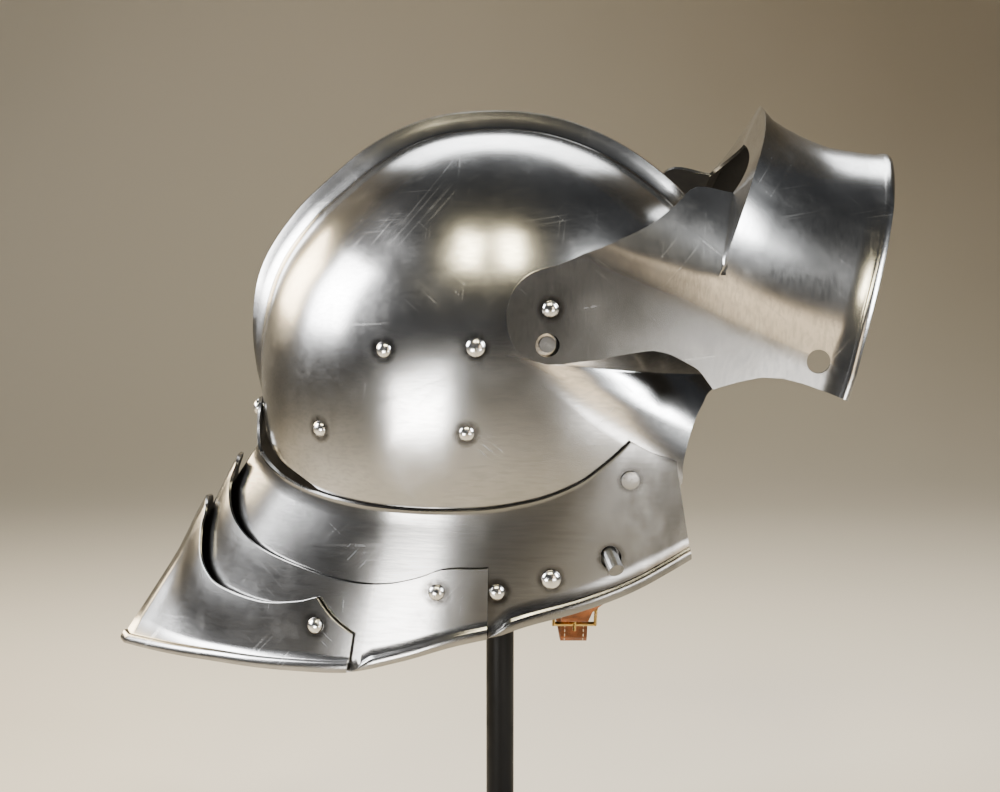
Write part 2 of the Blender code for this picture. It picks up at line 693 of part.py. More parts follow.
def strap(name, line, collection, finish):
    """Flat leather strap along a line of points, its width lying along X."""
    bm = bmesh.new()
    rings = []
    for k, point in enumerate(line):
        tangent = (line[min(k + 1, len(line) - 1)] - line[max(k - 1, 0)]).normalized()
        across = (Vector((1, 0, 0)) - tangent * tangent.x).normalized()
        out = tangent.cross(across)
        rings.append([bm.verts.new(point + across * sx * STRAP_WIDTH / 2 + out * sn * STRAP_THICKNESS / 2)
                      for sx, sn in ((-1, -1), (1, -1), (1, 1), (-1, 1))])
    for one, other in zip(rings, rings[1:]):
        for k in range(4):
            bm.faces.new((one[k], one[(k + 1) % 4], other[(k + 1) % 4], other[k]))
    bm.faces.new(rings[0][::-1])
    bm.faces.new(rings[-1])
    bmesh.ops.recalc_face_normals(bm, faces=bm.faces)
    mesh = bpy.data.meshes.new(name)
    bm.to_mesh(mesh)
    bm.free()
    return add_object(name, mesh, collection, finish)


def wire(name, points, radius, cyclic, collection, finish):
    """Bent wire through a list of points."""
    curve = bpy.data.curves.new(name, "CURVE")
    curve.dimensions = "3D"
    curve.bevel_depth = radius
    curve.bevel_resolution = 2
    curve.use_fill_caps = True
    spline = curve.splines.new("POLY")
    spline.points.add(len(points) - 1)
    for place, point in zip(spline.points, points):
        place.co = (*point, 1)
    spline.use_cyclic_u = cyclic
    curve.materials.append(finish)
    made = bpy.data.objects.new(name, curve)
    collection.objects.link(made)
    return made


class Seats:
    """Places on the plates' faces, found along a ray from outside."""

    def __init__(self):
        self.trees = {}

    def find(self, plates, start, direction):
        key = tuple(each.name for each in plates)
        if key not in self.trees:
            self.trees[key] = face_tree(*plates)
        place, normal = seat(self.trees[key], start, direction)
        return place, normal, plate_depth(self.trees[key], place, normal)

    def beside(self, plates, x, z, side):
        return self.find(plates, Vector((x, side * BOWL_HALF_WIDTH * 2, z)), Vector((0, -side, 0)))


def catch(name, plates, rivet_at, stud_at, side, stud_end, collection, cutters, finish, seats):
    """Flat spring inside the plates with a stud on its free end, as one piece."""
    rivet_place, rivet_normal, rivet_depth = seats.beside(plates, *rivet_at, side)
    stud_place, stud_normal, stud_depth = seats.beside(plates, *stud_at, side)
    start = rivet_place - rivet_normal * (rivet_depth + LEAF_STANDOFF)
    end = stud_place - stud_normal * (stud_depth + LEAF_STANDOFF)
    along = (end - start).normalized()
    out = rivet_normal + stud_normal
    out = (out - along * out.dot(along)).normalized()
    across = out.cross(along)
    length = (end - start).length + 2 * LEAF_END
    middle = (start + end) / 2 - out * LEAF_THICKNESS / 2
    frame = Matrix((along * length, across * LEAF_WIDTH, out * LEAF_THICKNESS)).transposed().to_4x4()
    bm = bmesh.new()
    bmesh.ops.create_cube(bm, size=1, matrix=Matrix.Translation(middle) @ frame)
    bmesh.ops.recalc_face_normals(bm, faces=bm.faces)
    mesh = bpy.data.meshes.new(name)
    bm.to_mesh(mesh)
    bm.free()
    leaf = add_object(name, mesh, collection, finish)
    axis, tip = stud_end(stud_place, out, side)
    root = end - out * LEAF_THICKNESS / 2
    reach = (tip - root).dot(axis)
    stud = hole_cutter(name + "_stud", [(tip - axis * reach / 2, axis, STUD_RADIUS, reach / 2)], cutters)
    cut(leaf, stud, "UNION")
    return leaf, tip, axis


def upper_stud_end(place, _, side):
    """The upper stud stands square to the visor's arm, just under it."""
    axis = Vector((0, side, 0))
    level = BOWL_HALF_WIDTH + VISOR_GAP - SEAT_GAP
    return axis, Vector((place.x, side * level, place.z))


def lower_pin_end(place, out, _):
    """The lower pin stands out from its spring, leaning forward and down."""
    axis = (out + Vector((PIN_LEAN_FORWARD, 0, -PIN_LEAN_DOWN))).normalized()
    return axis, place + axis * PIN_LENGTH


def build_bowl(collection, cutters, finish):
    latitudes = [0.01, 19, 36, 51, 64, 75]
    depths = (COMB_HALF_BASE, 0.5 * COMB_HALF_BASE, COMB_HALF_TOP)
    latitudes += [math.degrees(math.acos(d / BOWL_HALF_WIDTH)) for d in depths] + [90]
    first, back, last = BOWL_OUTLINE[0][0], BOWL_OUTLINE[14][0], BOWL_OUTLINE[-1][0]
    angles = spread(first, back, 20) + spread(back, last, 7)[1:-1]
    columns = [[bowl_point(degrees, latitude) for latitude in latitudes] for degrees in angles]
    for column in columns:
        column[0] = EAR + Vector((0, -BOWL_HALF_WIDTH, 0))
    bowl = plate("bowl", [columns + [columns[0]]], EAR, collection, finish)
    outline = [(BOWL_REACH * x, EAR.z - HIP_DROP * drop) for x, drop in BOWL_LOWER_EDGE]
    low = EAR.z - BOWL_REACH * 1.9
    outline += [(outline[-1][0] * 1.2, outline[-1][1]), (outline[-1][0] * 1.2, low),
                (outline[0][0] * 1.2, low), (outline[0][0] * 1.2, outline[0][1])]
    cut(bowl, outline_cutter("face_and_neck", outline, BOWL_HALF_WIDTH * 1.3, cutters))
    return bowl


def build_stand(collection, tree, finish, cap_finish):
    """Foot, pole and a rounded cap that fits under the crown of the bowl."""
    up = Vector((0, 0, 1))
    curve_radius = BOWL_HALF_WIDTH

    def cap_drop(r):
        return curve_radius - math.sqrt(curve_radius**2 - r * r)

    heights = []
    for k in range(24):
        a = 2 * math.pi * k / 24
        for share in (0.35, 0.7, 1.0):
            r = CAP_RADIUS * share
            place, _, _, _ = tree.ray_cast(Vector((r * math.cos(a), r * math.sin(a), EAR.z)), up)
            heights.append(place.z + cap_drop(r))
    top = min(heights) - CAP_GAP
    shares = (0.0, 0.35, 0.7, 1.0)
    profile = [(CAP_RADIUS * s, -cap_drop(CAP_RADIUS * s)) for s in shares]
    floor = -cap_drop(CAP_RADIUS) - CAP_THICKNESS
    profile += [(CAP_RADIUS, -cap_drop(CAP_RADIUS) - 0.35 * CAP_THICKNESS), (POLE_RADIUS * 1.4, floor),
                (0, floor)]
    turned("stand_cap", profile, Vector((0, 0, top)), up, collection, cap_finish, POLE_SIDES)
    pole_top = top + floor - SEAT_GAP
    pole_foot = BASE_THICKNESS + SEAT_GAP
    turned("stand_pole", [(0, pole_top), (POLE_RADIUS, pole_top), (POLE_RADIUS, pole_foot), (0, pole_foot)],
           Vector((0, 0, 0)), up, collection, finish, POLE_SIDES)
    turned("stand_base", [(0, BASE_THICKNESS), (BASE_RADIUS - BASE_EDGE, BASE_THICKNESS),
                          (BASE_RADIUS, BASE_THICKNESS - BASE_EDGE), (BASE_RADIUS, 0), (0, 0)],
           Vector((0, 0, 0)), up, collection, finish, BASE_SIDES)


def buckle_frame():
    """Centre of the heel bar, the way the strap runs there, and the outward direction."""
    run = Vector((0, 0.7, -0.7)).normalized()
    outward = run.cross(Vector((1, 0, 0))).normalized()
    if outward.y > 0:
        outward.negate()
    far_bar = Vector((CHEEK_REACH * 0.413, -RIM_HALF_WIDTH * 0.186, EAR.z - TAIL_DROP * 0.908))
    return far_bar - run * BUCKLE_LENGTH, run, outward


def strap_fold():
    """Line of the right strap's end: down, round the heel bar and a little way back."""
    heel, run, outward = buckle_frame()
    turn = BUCKLE_WIRE + SEAT_GAP + STRAP_THICKNESS / 2
    line = [heel + outward * turn - run * FOLD_LEAD, heel + outward * turn]
    line += [heel + (outward * math.cos(a) + run * math.sin(a)) * turn
             for a in (math.radians(45), math.radians(90), math.radians(135))]
    return line + [heel - outward * turn, heel - outward * turn - run * FOLD_END]


def strap_passage():
    """Line of the left strap through the buckle: inside the far bar, then over the heel bar."""
    heel, run, outward = buckle_frame()
    far = heel + run * BUCKLE_LENGTH
    inner = BUCKLE_WIRE + SEAT_GAP + STRAP_THICKNESS / 2
    over = BUCKLE_WIRE + 2 * SEAT_GAP + STRAP_THICKNESS * 1.5 + 0.2 * MM
    slope = math.asin((inner + over) / BUCKLE_LENGTH)
    line = [far + (-outward * math.cos(a) + run * math.sin(a)) * (inner + 0.2 * MM)
            for a in (0.0, -slope / 2, -slope)]
    line += [heel + (outward * math.cos(a) + run * math.sin(a)) * over for a in (slope, slope / 2, 0.0)]
    drift = Vector((FREE_END_DRIFT, 0, 0))
    # columns: lift off the heel bar, way along the free end and drift forward, as shares
    return line + [heel + outward * over * lift - run * FREE_END * way + drift * forward
                   for lift, way, forward in ((1.2, 0.5, 0.3), (1.7, 1.0, 1.0))]


def build_strap(side_name, side, bowl, parts, finish, seats):
    """Half of the chin strap, from its rivet in the bowl to the buckle under the right cheek."""
    x, z = side_of_bowl(*STRAP_RIVET)
    route = []
    for lift in (0.06, -0.06):
        place, normal, depth = seats.beside([bowl], x, z + BOWL_REACH * lift, side)
        route.append(place - normal * (depth + SLANT_GAP + STRAP_THICKNESS / 2))
    # columns: reach, half width and drop as shares of CHEEK_REACH, RIM_HALF_WIDTH, TAIL_DROP
    shared = [(-0.14, 0.885, 0.40), (-0.05, 0.79, 0.53), (0.10, 0.67, 0.65)]
    if side < 0:
        shared += [(0.24, 0.565, 0.71), (0.34, 0.455, 0.765)]
    else:
        shared += [(0.28, 0.48, 0.80), (0.38, 0.25, 0.92), (0.41, 0.04, 0.98), (0.413, -0.09, 0.96)]
    route += [Vector((CHEEK_REACH * r, side * RIM_HALF_WIDTH * w, EAR.z - TAIL_DROP * d))
              for r, w, d in shared]
    tail = strap_fold() if side < 0 else strap_passage()
    line = bend(route + tail, len(route))
    return strap("chin_strap_" + side_name, line, parts, finish)


def build_buckle(parts, cutters, finish):
    """Wire buckle with its prong through both straps."""
    heel, run, outward = buckle_frame()
    half = Vector((BUCKLE_WIDTH / 2, 0, 0))
    far = heel + run * BUCKLE_LENGTH
    wire("buckle_frame", [heel - half, heel + half, far + half, far - half], BUCKLE_WIRE, True, parts, finish)
    prong_radius = BUCKLE_WIRE * 0.7
    clear = BUCKLE_WIRE + SEAT_GAP + prong_radius
    start = heel + run * (clear + 0.2 * MM)
    end = far + outward * (clear + 0.1 * MM) + run * 2 * MM
    wire("buckle_prong", [start, end], prong_radius, False, parts, finish)
    axis = (end - start).normalized()
    place = [((start + end) / 2, axis, prong_radius + SEAT_GAP, (end - start).length / 2 + 3 * MM)]
    for name in ("chin_strap_right", "chin_strap_left"):
        cut(bpy.data.objects[name], hole_cutter(name + "_prong_hole", place, cutters))


def raised_catch_hole(tip, axis, side, pivot):
    """Where the lower pin meets the lowered visor's side, carried round to the raised visor."""
    level = visor_half_width(tip.z - pivot.z) - PLATE / 2
    met = tip + axis * ((side * level - tip.y) / axis.y)
    turn = Matrix.Rotation(-VISOR_LIFT, 4, "Y")
    return pivot + turn @ (met - pivot)


def clear_scene():
    for each in list(bpy.data.objects):
        bpy.data.objects.remove(each)


def new_collection(name):
    made = bpy.data.collections.new(name)
    bpy.context.scene.collection.children.link(made)
    return made


def main():
    clear_scene()
    parts, cutters = new_collection("sallet"), new_collection("cutters")
    steel = material("brushed_steel", (0.56, 0.56, 0.55), 1.0, 0.3)
    dark_steel = material("worn_steel", (0.36, 0.36, 0.36), 1.0, 0.42)
    bright = material("polished_steel", (0.7, 0.69, 0.67), 1.0, 0.18)
    leather = material("brown_leather", (0.24, 0.09, 0.03), 0.0, 0.6)
    brass = material("brass", (0.62, 0.42, 0.13), 1.0, 0.3)
    black = material("black_paint", (0.012, 0.012, 0.012), 0.0, 0.35)
    plastic = material("black_plastic", (0.02, 0.02, 0.02), 0.0, 0.6)

    bowl = build_bowl(parts, cutters, steel)
    front_lame = plate("front_lame", [front_lame_columns()], EAR, parts, steel)
    middle_lame = plate("middle_lame", [middle_lame_columns()], EAR, parts, steel)
    rear_lame = plate("rear_lame", [rear_lame_columns()], EAR, parts, steel)
    face = visor_face_columns()
    visor = plate("visor", [face, visor_side_columns(face[-1])], Vector((0, 0, 0)), parts, steel)
    pivot_x, pivot_z = side_of_bowl(*VISOR_PIVOT)
    visor.location = (pivot_x, 0, pivot_z)
    visor.rotation_euler = (0, -VISOR_LIFT, 0)
    build_stand(parts, face_tree(bowl), black, plastic)

    seats = Seats()
    holes = {each.name: [] for each in (bowl, front_lame, middle_lame, rear_lame, visor)}
    straps, leaves = {}, {}
    for side_name, side in SIDES.items():
        straps[side_name] = build_strap(side_name, side, bowl, parts, leather, seats)
        upper, upper_tip, upper_axis = catch(
            "upper_catch_" + side_name, [bowl], side_of_bowl(*UPPER_SPRING_RIVET),
            side_of_bowl(*UPPER_STUD), side, upper_stud_end, parts, cutters, dark_steel, seats)
        lower, lower_tip, lower_axis = catch(
            "lower_catch_" + side_name, [front_lame], side_of_skirt(*LOWER_SPRING_RIVET),
            side_of_skirt(*LOWER_PIN), side, lower_pin_end, parts, cutters, dark_steel, seats)
        holes["bowl"].append((upper_tip, upper_axis, STUD_HOLE_RADIUS, HOLE_REACH))
        holes["visor"].append((upper_tip, upper_axis, CATCH_HOLE_RADIUS, HOLE_REACH))
        holes["front_lame"].append((lower_tip - lower_axis * PIN_LENGTH, lower_axis,
                                    STUD_HOLE_RADIUS, HOLE_REACH))
        holes["visor"].append((raised_catch_hole(lower_tip, lower_axis, side, visor.location),
                               Vector((0, side, 0)), CATCH_HOLE_RADIUS, HOLE_REACH))
        leaves[side_name] = {"upper": upper, "lower": lower}

    for side_name, side in SIDES.items():
        strap_piece = straps[side_name]
        upper, lower = leaves[side_name]["upper"], leaves[side_name]["lower"]
        spring_head = {"radius": SPRING_DOME_RADIUS, "height": SPRING_DOME_RADIUS * 0.6,
                       "inner_gap": SLANT_GAP}
        rivets = [
            ("visor_pivot", side_of_bowl(*VISOR_PIVOT), [visor, bowl], bright, {"inner_gap": SLANT_GAP}),
            ("strap_rivet", side_of_bowl(*STRAP_RIVET), [bowl, strap_piece], bright, {}),
            ("upper_spring_rivet", side_of_bowl(*UPPER_SPRING_RIVET), [bowl, upper], bright, spring_head),
            ("cheek_rivet", side_of_skirt(*CHEEK_RIVET), [front_lame, bowl], dark_steel,
             {"radius": FLAT_RADIUS, "height": FLAT_HEIGHT, "flat": True, "inner_gap": SLANT_GAP}),
            ("skirt_rivet", side_of_skirt(*SKIRT_RIVET), [front_lame], bright, {}),
            ("lower_spring_rivet", side_of_skirt(*LOWER_SPRING_RIVET), [front_lame, lower], bright,
             spring_head),
            ("middle_lame_pivot", side_of_skirt(*MIDDLE_PIVOT), [middle_lame, front_lame], bright, {}),
            ("rear_lame_pivot", side_of_skirt(*REAR_PIVOT), [rear_lame, middle_lame], bright,
             {"under": PIVOT_GAP, "inner_gap": PIVOT_GAP})]
        rivets += [(name, side_of_bowl(*at), [bowl], bright, {}) for name, at in BOWL_RIVETS.items()]
        for name, at, plates, finish, shape in rivets:
            place, normal, depth = seats.beside(plates, *at, side)
            turned(name + "_" + side_name, rivet_profile(depth, **shape), place, normal, parts, finish)
            for each in plates:
                holes.setdefault(each.name, []).append(
                    (place, normal, SHANK_RADIUS + SEAT_GAP, HOLE_REACH))
    back = Vector((-BOWL_REACH * 2, 0, EAR.z - HIP_DROP * SKIRT[0][2] + BACK_RIVET_LIFT))
    place, normal, depth = seats.find([front_lame, bowl], back, Vector((1, 0, 0)))
    turned("back_rivet", rivet_profile(depth, inner_gap=SLANT_GAP), place, normal, parts, bright)
    for each in (front_lame, bowl):
        holes[each.name].append((place, normal, SHANK_RADIUS + SEAT_GAP, HOLE_REACH))
    for name, places in holes.items():
        cut(bpy.data.objects[name], hole_cutter(name + "_holes", places, cutters))
    build_buckle(parts, cutters, brass)


main()
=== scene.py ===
"""Looks of a visored sallet on its pole stand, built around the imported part.

Plates are remade smoothly from the same outlines as the part, in brushed steel with wear. The rivets and
the stand are turned again with finer heads and edges. The catches, chin strap and buckle are the part's own
pieces with softened edges, and the strap gets its stitches.
"""
import math

import bmesh
import bpy
import numpy as np
from mathutils import Matrix, Vector


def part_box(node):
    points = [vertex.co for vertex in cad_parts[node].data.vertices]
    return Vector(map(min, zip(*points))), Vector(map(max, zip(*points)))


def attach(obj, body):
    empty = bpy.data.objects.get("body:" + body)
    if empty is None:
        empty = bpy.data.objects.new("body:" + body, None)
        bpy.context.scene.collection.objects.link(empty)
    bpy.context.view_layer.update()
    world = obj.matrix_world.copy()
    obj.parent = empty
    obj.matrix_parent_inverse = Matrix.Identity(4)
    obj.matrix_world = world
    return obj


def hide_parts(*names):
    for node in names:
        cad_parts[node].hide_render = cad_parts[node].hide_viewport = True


bl_info = {
    "name": "Visored sallet",
    "version": (1, 0, 0),
    "blender": (4, 5, 0),
    "location": "View3D > Sidebar > Sallet",
    "description": "Builds a visored sallet in brushed steel on a pole stand",
    "category": "Object",
}

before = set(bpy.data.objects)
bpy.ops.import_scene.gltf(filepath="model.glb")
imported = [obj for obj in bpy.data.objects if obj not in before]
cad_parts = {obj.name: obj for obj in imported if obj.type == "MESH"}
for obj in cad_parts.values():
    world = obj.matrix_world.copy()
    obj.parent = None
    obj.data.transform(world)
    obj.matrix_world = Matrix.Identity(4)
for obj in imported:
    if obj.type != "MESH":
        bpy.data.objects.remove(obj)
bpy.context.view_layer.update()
MM = 0.001

# Plates, as in the part
PLATE = 1.6 * MM
LAP = 2.5 * MM
EAR = Vector((0, 0, 305 * MM))
BOWL_HALF_WIDTH = 102 * MM
BOWL_REACH = 130 * MM
COMB_HEIGHT = 9.5 * MM
COMB_HALF_BASE = 9.5 * MM
COMB_HALF_TOP = 1.5 * MM
HIP_DROP = 81.6 * MM
TAIL_REACH = 198.6 * MM
TAIL_DROP = 171.5 * MM
CHEEK_REACH = 94.8 * MM
RIM_HALF_WIDTH = 97 * MM
CHEEK_HALF_WIDTH = 85 * MM
RIM_WIDEST_X = -8 * MM
BACK_STANDOFF = 4 * MM
LAME_LIFT = 3.4 * MM
RIM_BAND = 7 * MM
RIM_ROLL = 1.5 * MM
COLLAR = 2 * MM
TAB_HEIGHT = 24 * MM
TAB_SHARE = 0.09
STANDOFF_END = 0.42
LIFT_END = 0.45
LIFT_DEPTH = 0.3
ROLL_RAMP = 0.03
COMB_LATITUDE = 76
VISOR_LIFT = math.radians(64.5)
VISOR_REACH = 130.7 * MM
VISOR_EDGE_REACH = 109.3 * MM
VISOR_DROP = 149.5 * MM
VISOR_CENTRE = 26 * MM
VISOR_TAPER = 4 * MM
VISOR_RIM_BAND = 5 * MM
VISOR_RIM_ROLL = 1.1 * MM
VISOR_KEEL = 1.1
VISOR_TEMPLE_SWELL = 5 * MM
VISOR_GAP = 0.4 * MM
VISOR_CREASE = 0.42
CATCH_HOLE_RADIUS = 5.8 * MM
PIN_HOLE_RADIUS = 5.2 * MM
PIN_LENGTH = 9 * MM
STRAP_WIDTH = 14 * MM
STRAP_PLACE = CHEEK_REACH * 0.413
STITCH_TOP = 152 * MM
STITCH_RUN = 22 * MM
STITCH_SHARE = 0.72
SEAM_INSET = 2.1 * MM
THREAD_RADIUS = 0.32 * MM
RIM_SOFTNESS = 0.35 * MM
SHANK_RADIUS = 1.8 * MM
PEEN_RADIUS = 3.6 * MM
PEEN_HEIGHT = 1.4 * MM
FLAT_HEAD_SPREAD = 1.12
FLAT_HEAD_HEIGHT = 1.2 * MM
SPRING_HEAD_RISE = 0.6
BASE_EDGE = 2.2 * MM
POLE_EDGE = 0.5 * MM

# columns: angle round the ear (degrees), reach of the bowl as a share of BOWL_REACH
BOWL_OUTLINE = (
    (-9.5, 0.975), (0, 0.950), (20, 0.882), (36, 0.842), (50, 0.816), (70, 0.799),
    (90, 0.795), (110, 0.808), (135, 0.820), (150, 0.859), (165, 0.909), (180, 0.945),
    (196, 0.995), (208, 1.055), (225, 1.19), (245, 1.36), (270, 1.50), (300, 1.66),
    (322, 1.64), (336, 1.36), (344, 1.13), (350.5, 0.975))
# columns: angle round the ear (degrees), height of the comb as a share of COMB_HEIGHT
COMB_RUN = (
    (-9.5, 0.30), (20, 0.90), (60, 0.95), (90, 0.95), (135, 1.10), (165, 1.05),
    (180, 0.70), (190, 0.30), (198, 0.0), (350.5, 0.0))
# columns: reach as a share of BOWL_REACH, drop below the ear as a share of HIP_DROP
BOWL_LOWER_EDGE = (
    (0.970, 0.240), (0.818, 0.288), (0.773, 0.360), (0.735, 0.457),
    (0.708, 0.588), (0.692, 0.711), (0.685, 0.821), (0.615, 0.870), (0.438, 0.919),
    (0.277, 1.029), (0.0, 1.140), (-0.162, 1.152), (-0.446, 1.121), (-0.600, 1.054),
    (-0.690, 0.928), (-0.765, 0.858), (-0.888, 0.763), (-0.954, 0.625), (-0.985, 0.575))
# columns: share round the skirt from the back, hip reach (of BOWL_REACH), hip drop (of
# HIP_DROP), rim reach (of TAIL_REACH behind and CHEEK_REACH in front), rim drop (of TAIL_DROP)
SKIRT = (
    (0.00, -0.978, 0.754, -1.000, 1.000), (0.05, -0.974, 0.760, -0.952, 0.998),
    (0.10, -0.954, 0.797, -0.894, 0.994), (0.16, -0.917, 0.846, -0.821, 0.988),
    (0.24, -0.838, 0.907, -0.720, 0.978), (0.32, -0.746, 0.946, -0.614, 0.971),
    (0.40, -0.631, 0.975, -0.504, 0.961), (0.48, -0.485, 0.995, -0.383, 0.948),
    (0.56, -0.308, 1.000, -0.247, 0.904), (0.64, -0.108, 0.990, -0.091, 0.845),
    (0.72, 0.108, 0.934, 0.116, 0.799), (0.80, 0.292, 0.821, 0.390, 0.759),
    (0.86, 0.415, 0.674, 0.591, 0.723), (0.90, 0.491, 0.560, 0.728, 0.692),
    (0.95, 0.585, 0.645, 0.865, 0.653), (1.00, 0.666, 0.691, 1.000, 0.612))
CHEEK_POINT = 0.90
# columns: share round the skirt, share of the way from hip to rim
FRONT_LAME_HEM = (
    (0.00, 0.32), (0.10, 0.44), (0.25, 0.53), (0.40, 0.60), (0.52, 0.66), (0.58, 0.72),
    (0.62, 0.84), (0.645, 1.0))
MIDDLE_LAME_EDGE = (
    (0.00, 0.085), (0.03, 0.11), (0.075, 0.20), (0.115, 0.26), (0.155, 0.30), (0.235, 0.355),
    (0.355, 0.40), (0.445, 0.44), (0.525, 0.455), (0.575, 0.43), (0.605, 0.395), (0.66, 0.43))
MIDDLE_LAME_HEM = (
    (0.00, 0.50), (0.10, 0.68), (0.25, 0.78), (0.36, 0.81), (0.42, 0.86), (0.46, 1.0))
REAR_LAME_EDGE = (
    (0.00, 0.30), (0.03, 0.33), (0.07, 0.42), (0.10, 0.50), (0.14, 0.565), (0.19, 0.61),
    (0.29, 0.63), (0.375, 0.59), (0.41, 0.55), (0.44, 0.65), (0.485, 0.76))
MIDDLE_LAME_POINT = 0.605
MIDDLE_LAME_END = 0.665
REAR_LAME_POINT = 0.41
# places round the skirt along which a lame's rolled rim rises, with a column at each
FRONT_ROLL = (0.662, 0.67, 0.68, 0.692)
MIDDLE_ROLL = (0.485, 0.5, 0.515)
# columns: share of the rolled band from its start, height as a share of the roll
LAME_ROLL = ((0.1, 0.25), (0.2, 0.75), (0.32, 0.95), (0.6, 1.0), (0.82, 0.85), (1.0, 0.35))
VISOR_ROLL = ((0.12, 0.4), (0.25, 0.85), (0.45, 1.0), (0.75, 0.9), (1.0, 0.4))
# columns: plan angle (degrees), ridge drop and rim drop as shares of VISOR_DROP
VISOR_FRONT = (
    (0, 0.400, 0.877), (10, 0.408, 0.878), (20, 0.415, 0.882), (29, 0.421, 0.890),
    (38, 0.424, 0.902), (46, 0.425, 0.912), (54, 0.430, 0.924), (62, 0.435, 0.936),
    (70, 0.440, 0.950), (78, 0.444, 0.968))
BROW_COLUMN = 5
BROW_NARROWING = 0.945
TEMPLE_NARROWING = 0.965
# drop of the brow's edge at the medial plane, its bow and its rise, as shares of VISOR_DROP
BROW_DROP = 0.407
BROW_BOW = 0.02
BROW_RISE = 0.014
# columns: upper edge reach (of VISOR_REACH), upper edge drop (of VISOR_DROP), share of the
# valley from the brow corner to the notch, for the columns behind the brow corner
VISOR_TEMPLE = ((0.624, 0.272, 0.16), (0.536, 0.228, 0.46), (0.436, 0.178, 0.76), (0.314, 0.089, 1.0))
# line where the face meets the side: reach and drop of its upper end, then of its lower end
VISOR_SIDE_LINE = (0.236, 0.022, 0.262, 0.988)
# columns: drop below the pivot as a share of VISOR_DROP, reach as a share of VISOR_REACH
VISOR_ARM_TOP = (
    (-0.133, -0.015), (-0.131, 0.015), (-0.124, 0.046), (-0.112, 0.076), (-0.094, 0.103),
    (-0.067, 0.130), (-0.045, 0.151), (-0.029, 0.168), (0.022, 0.236))
VISOR_REAR_EDGE = (
    (-0.133, -0.015), (-0.127, -0.061), (-0.110, -0.112), (-0.080, -0.158), (-0.040, -0.191),
    (0.020, -0.201), (0.082, -0.188), (0.136, -0.148), (0.211, -0.095), (0.300, -0.020),
    (0.395, 0.035), (0.490, 0.036), (0.589, -0.014), (0.635, 0.036), (0.760, 0.128),
    (0.885, 0.153), (1.000, 0.161))
VISOR_TIP_DROP = 0.589
# columns: drop below the pivot as a share of VISOR_DROP, medial reach as a share of VISOR_REACH
VISOR_PROFILE = (
    (0.39, 1.000), (0.475, 0.969), (0.566, 0.9625), (0.65, 0.965), (0.727, 0.985),
    (0.80, 1.010), (0.877, 1.041), (1.05, 1.100))
# places in the side view, from the ear, as shares of BOWL_REACH
VISOR_PIVOT = (0.186, 0.172)
UPPER_STUD = (0.176, 0.036)
PIVOT = Vector((BOWL_REACH * VISOR_PIVOT[0], 0, EAR.z + BOWL_REACH * VISOR_PIVOT[1]))
SIDES = {"right": -1, "left": 1}
# floor: half its size, where its sweep starts to rise, the sweep's radius and the height of its top (m)
FLOOR_REACH = 12.0
SWEEP_START = 1.0
SWEEP_RADIUS = 0.7
SWEEP_TOP = 3.2
VIEW_TARGET = Vector((0, 0, 0.268))
LENS = 85.5
SENSOR_WIDTH = 36
WORLD_COLOUR = (0.85, 0.9, 1.0, 1)
WORLD_STRENGTH = 0.06
LIGHT_SPREAD = math.radians(75)
DIRT = (0.03, 0.026, 0.022, 1)
SMEAR = (0.10, 0.085, 0.07, 1)
# columns: name, place and point it faces (m), width and height (m), power (W), colour
STUDIO_LIGHTS = (
    ("left_box", (-1.3, -0.15, 0.78), (0, 0, 0.31), (0.6, 0.75), 10, (0.97, 0.98, 1.0)),
    ("low_box", (-0.40, -0.66, 0.03), (-0.05, -0.05, 0.28), (0.30, 0.22), 1.3, (1.0, 0.98, 0.95)),
    ("left_window", (-0.30, -0.86, 1.30), (0, 0, 0.33), (0.26, 0.42), 1.7, (1.0, 0.88, 0.58)),
    ("right_window", (0.12, -0.86, 1.30), (0, 0, 0.33), (0.20, 0.42), 1.4, (1.0, 0.88, 0.58)),
    ("right_box", (1.25, -0.75, 0.95), (0.12, 0, 0.34), (0.45, 0.8), 9, (0.95, 0.98, 1.0)),
    ("low_right", (0.42, -0.85, 0.03), (0.12, -0.06, 0.33), (0.35, 0.20), 0.6, (1.0, 0.98, 0.95)),
    ("warm_card", (0.75, -1.5, 0.42), (0.05, 0, 0.33), (0.5, 0.8), 0.8, (1.0, 0.78, 0.50)),
    ("ceiling", (0.0, 1.3, 1.5), (0, 0, 0.36), (1.5, 0.7), 7, (0.95, 0.98, 1.0)),
    ("back_glow", (-1.2, 0.7, 0.7), (-0.1, 0, 0.25), (0.6, 0.6), 5, (1.0, 0.8, 0.5)))
SPRUNG = ("upper_spring_rivet", "lower_spring_rivet")
DOMED = ("visor_pivot", "strap_rivet", "bowl_rivet_middle", "bowl_rivet_rear", "skirt_rivet",
         "middle_lame_pivot", "rear_lame_pivot")
BOWL_DIRT = ("strap_rivet", "bowl_rivet_middle", "bowl_rivet_rear", "upper_spring_rivet")
SKIRT_DIRT = ("skirt_rivet", "lower_spring_rivet", "cheek_rivet")


def read_row(rows, key, column, corners=()):
    """Value of a table's column at a key, on a smooth curve that turns sharply at corners."""
    keys = [row[0] for row in rows]
    key = min(max(key, keys[0]), keys[-1])
    last = len(rows) - 1
    first = max(i for i in range(last) if keys[i] <= key)
    span = keys[first + 1] - keys[first]

    def rise(i):
        return (rows[i + 1][column] - rows[i][column]) / (keys[i + 1] - keys[i])

    def slope(i, inner):
        if i == 0 or i == last or keys[i] in corners:
            return rise(inner)
        before, after = rise(i - 1), rise(i)
        return 0.0 if before * after <= 0 else 2 * before * after / (before + after)

    t = (key - keys[first]) / span
    start, end = rows[first][column], rows[first + 1][column]
    m0, m1 = slope(first, first) * span, slope(first + 1, first) * span
    return ((2 * t**3 - 3 * t**2 + 1) * start + (t**3 - 2 * t**2 + t) * m0
            + (3 * t**2 - 2 * t**3) * end + (t**3 - t**2) * m1)


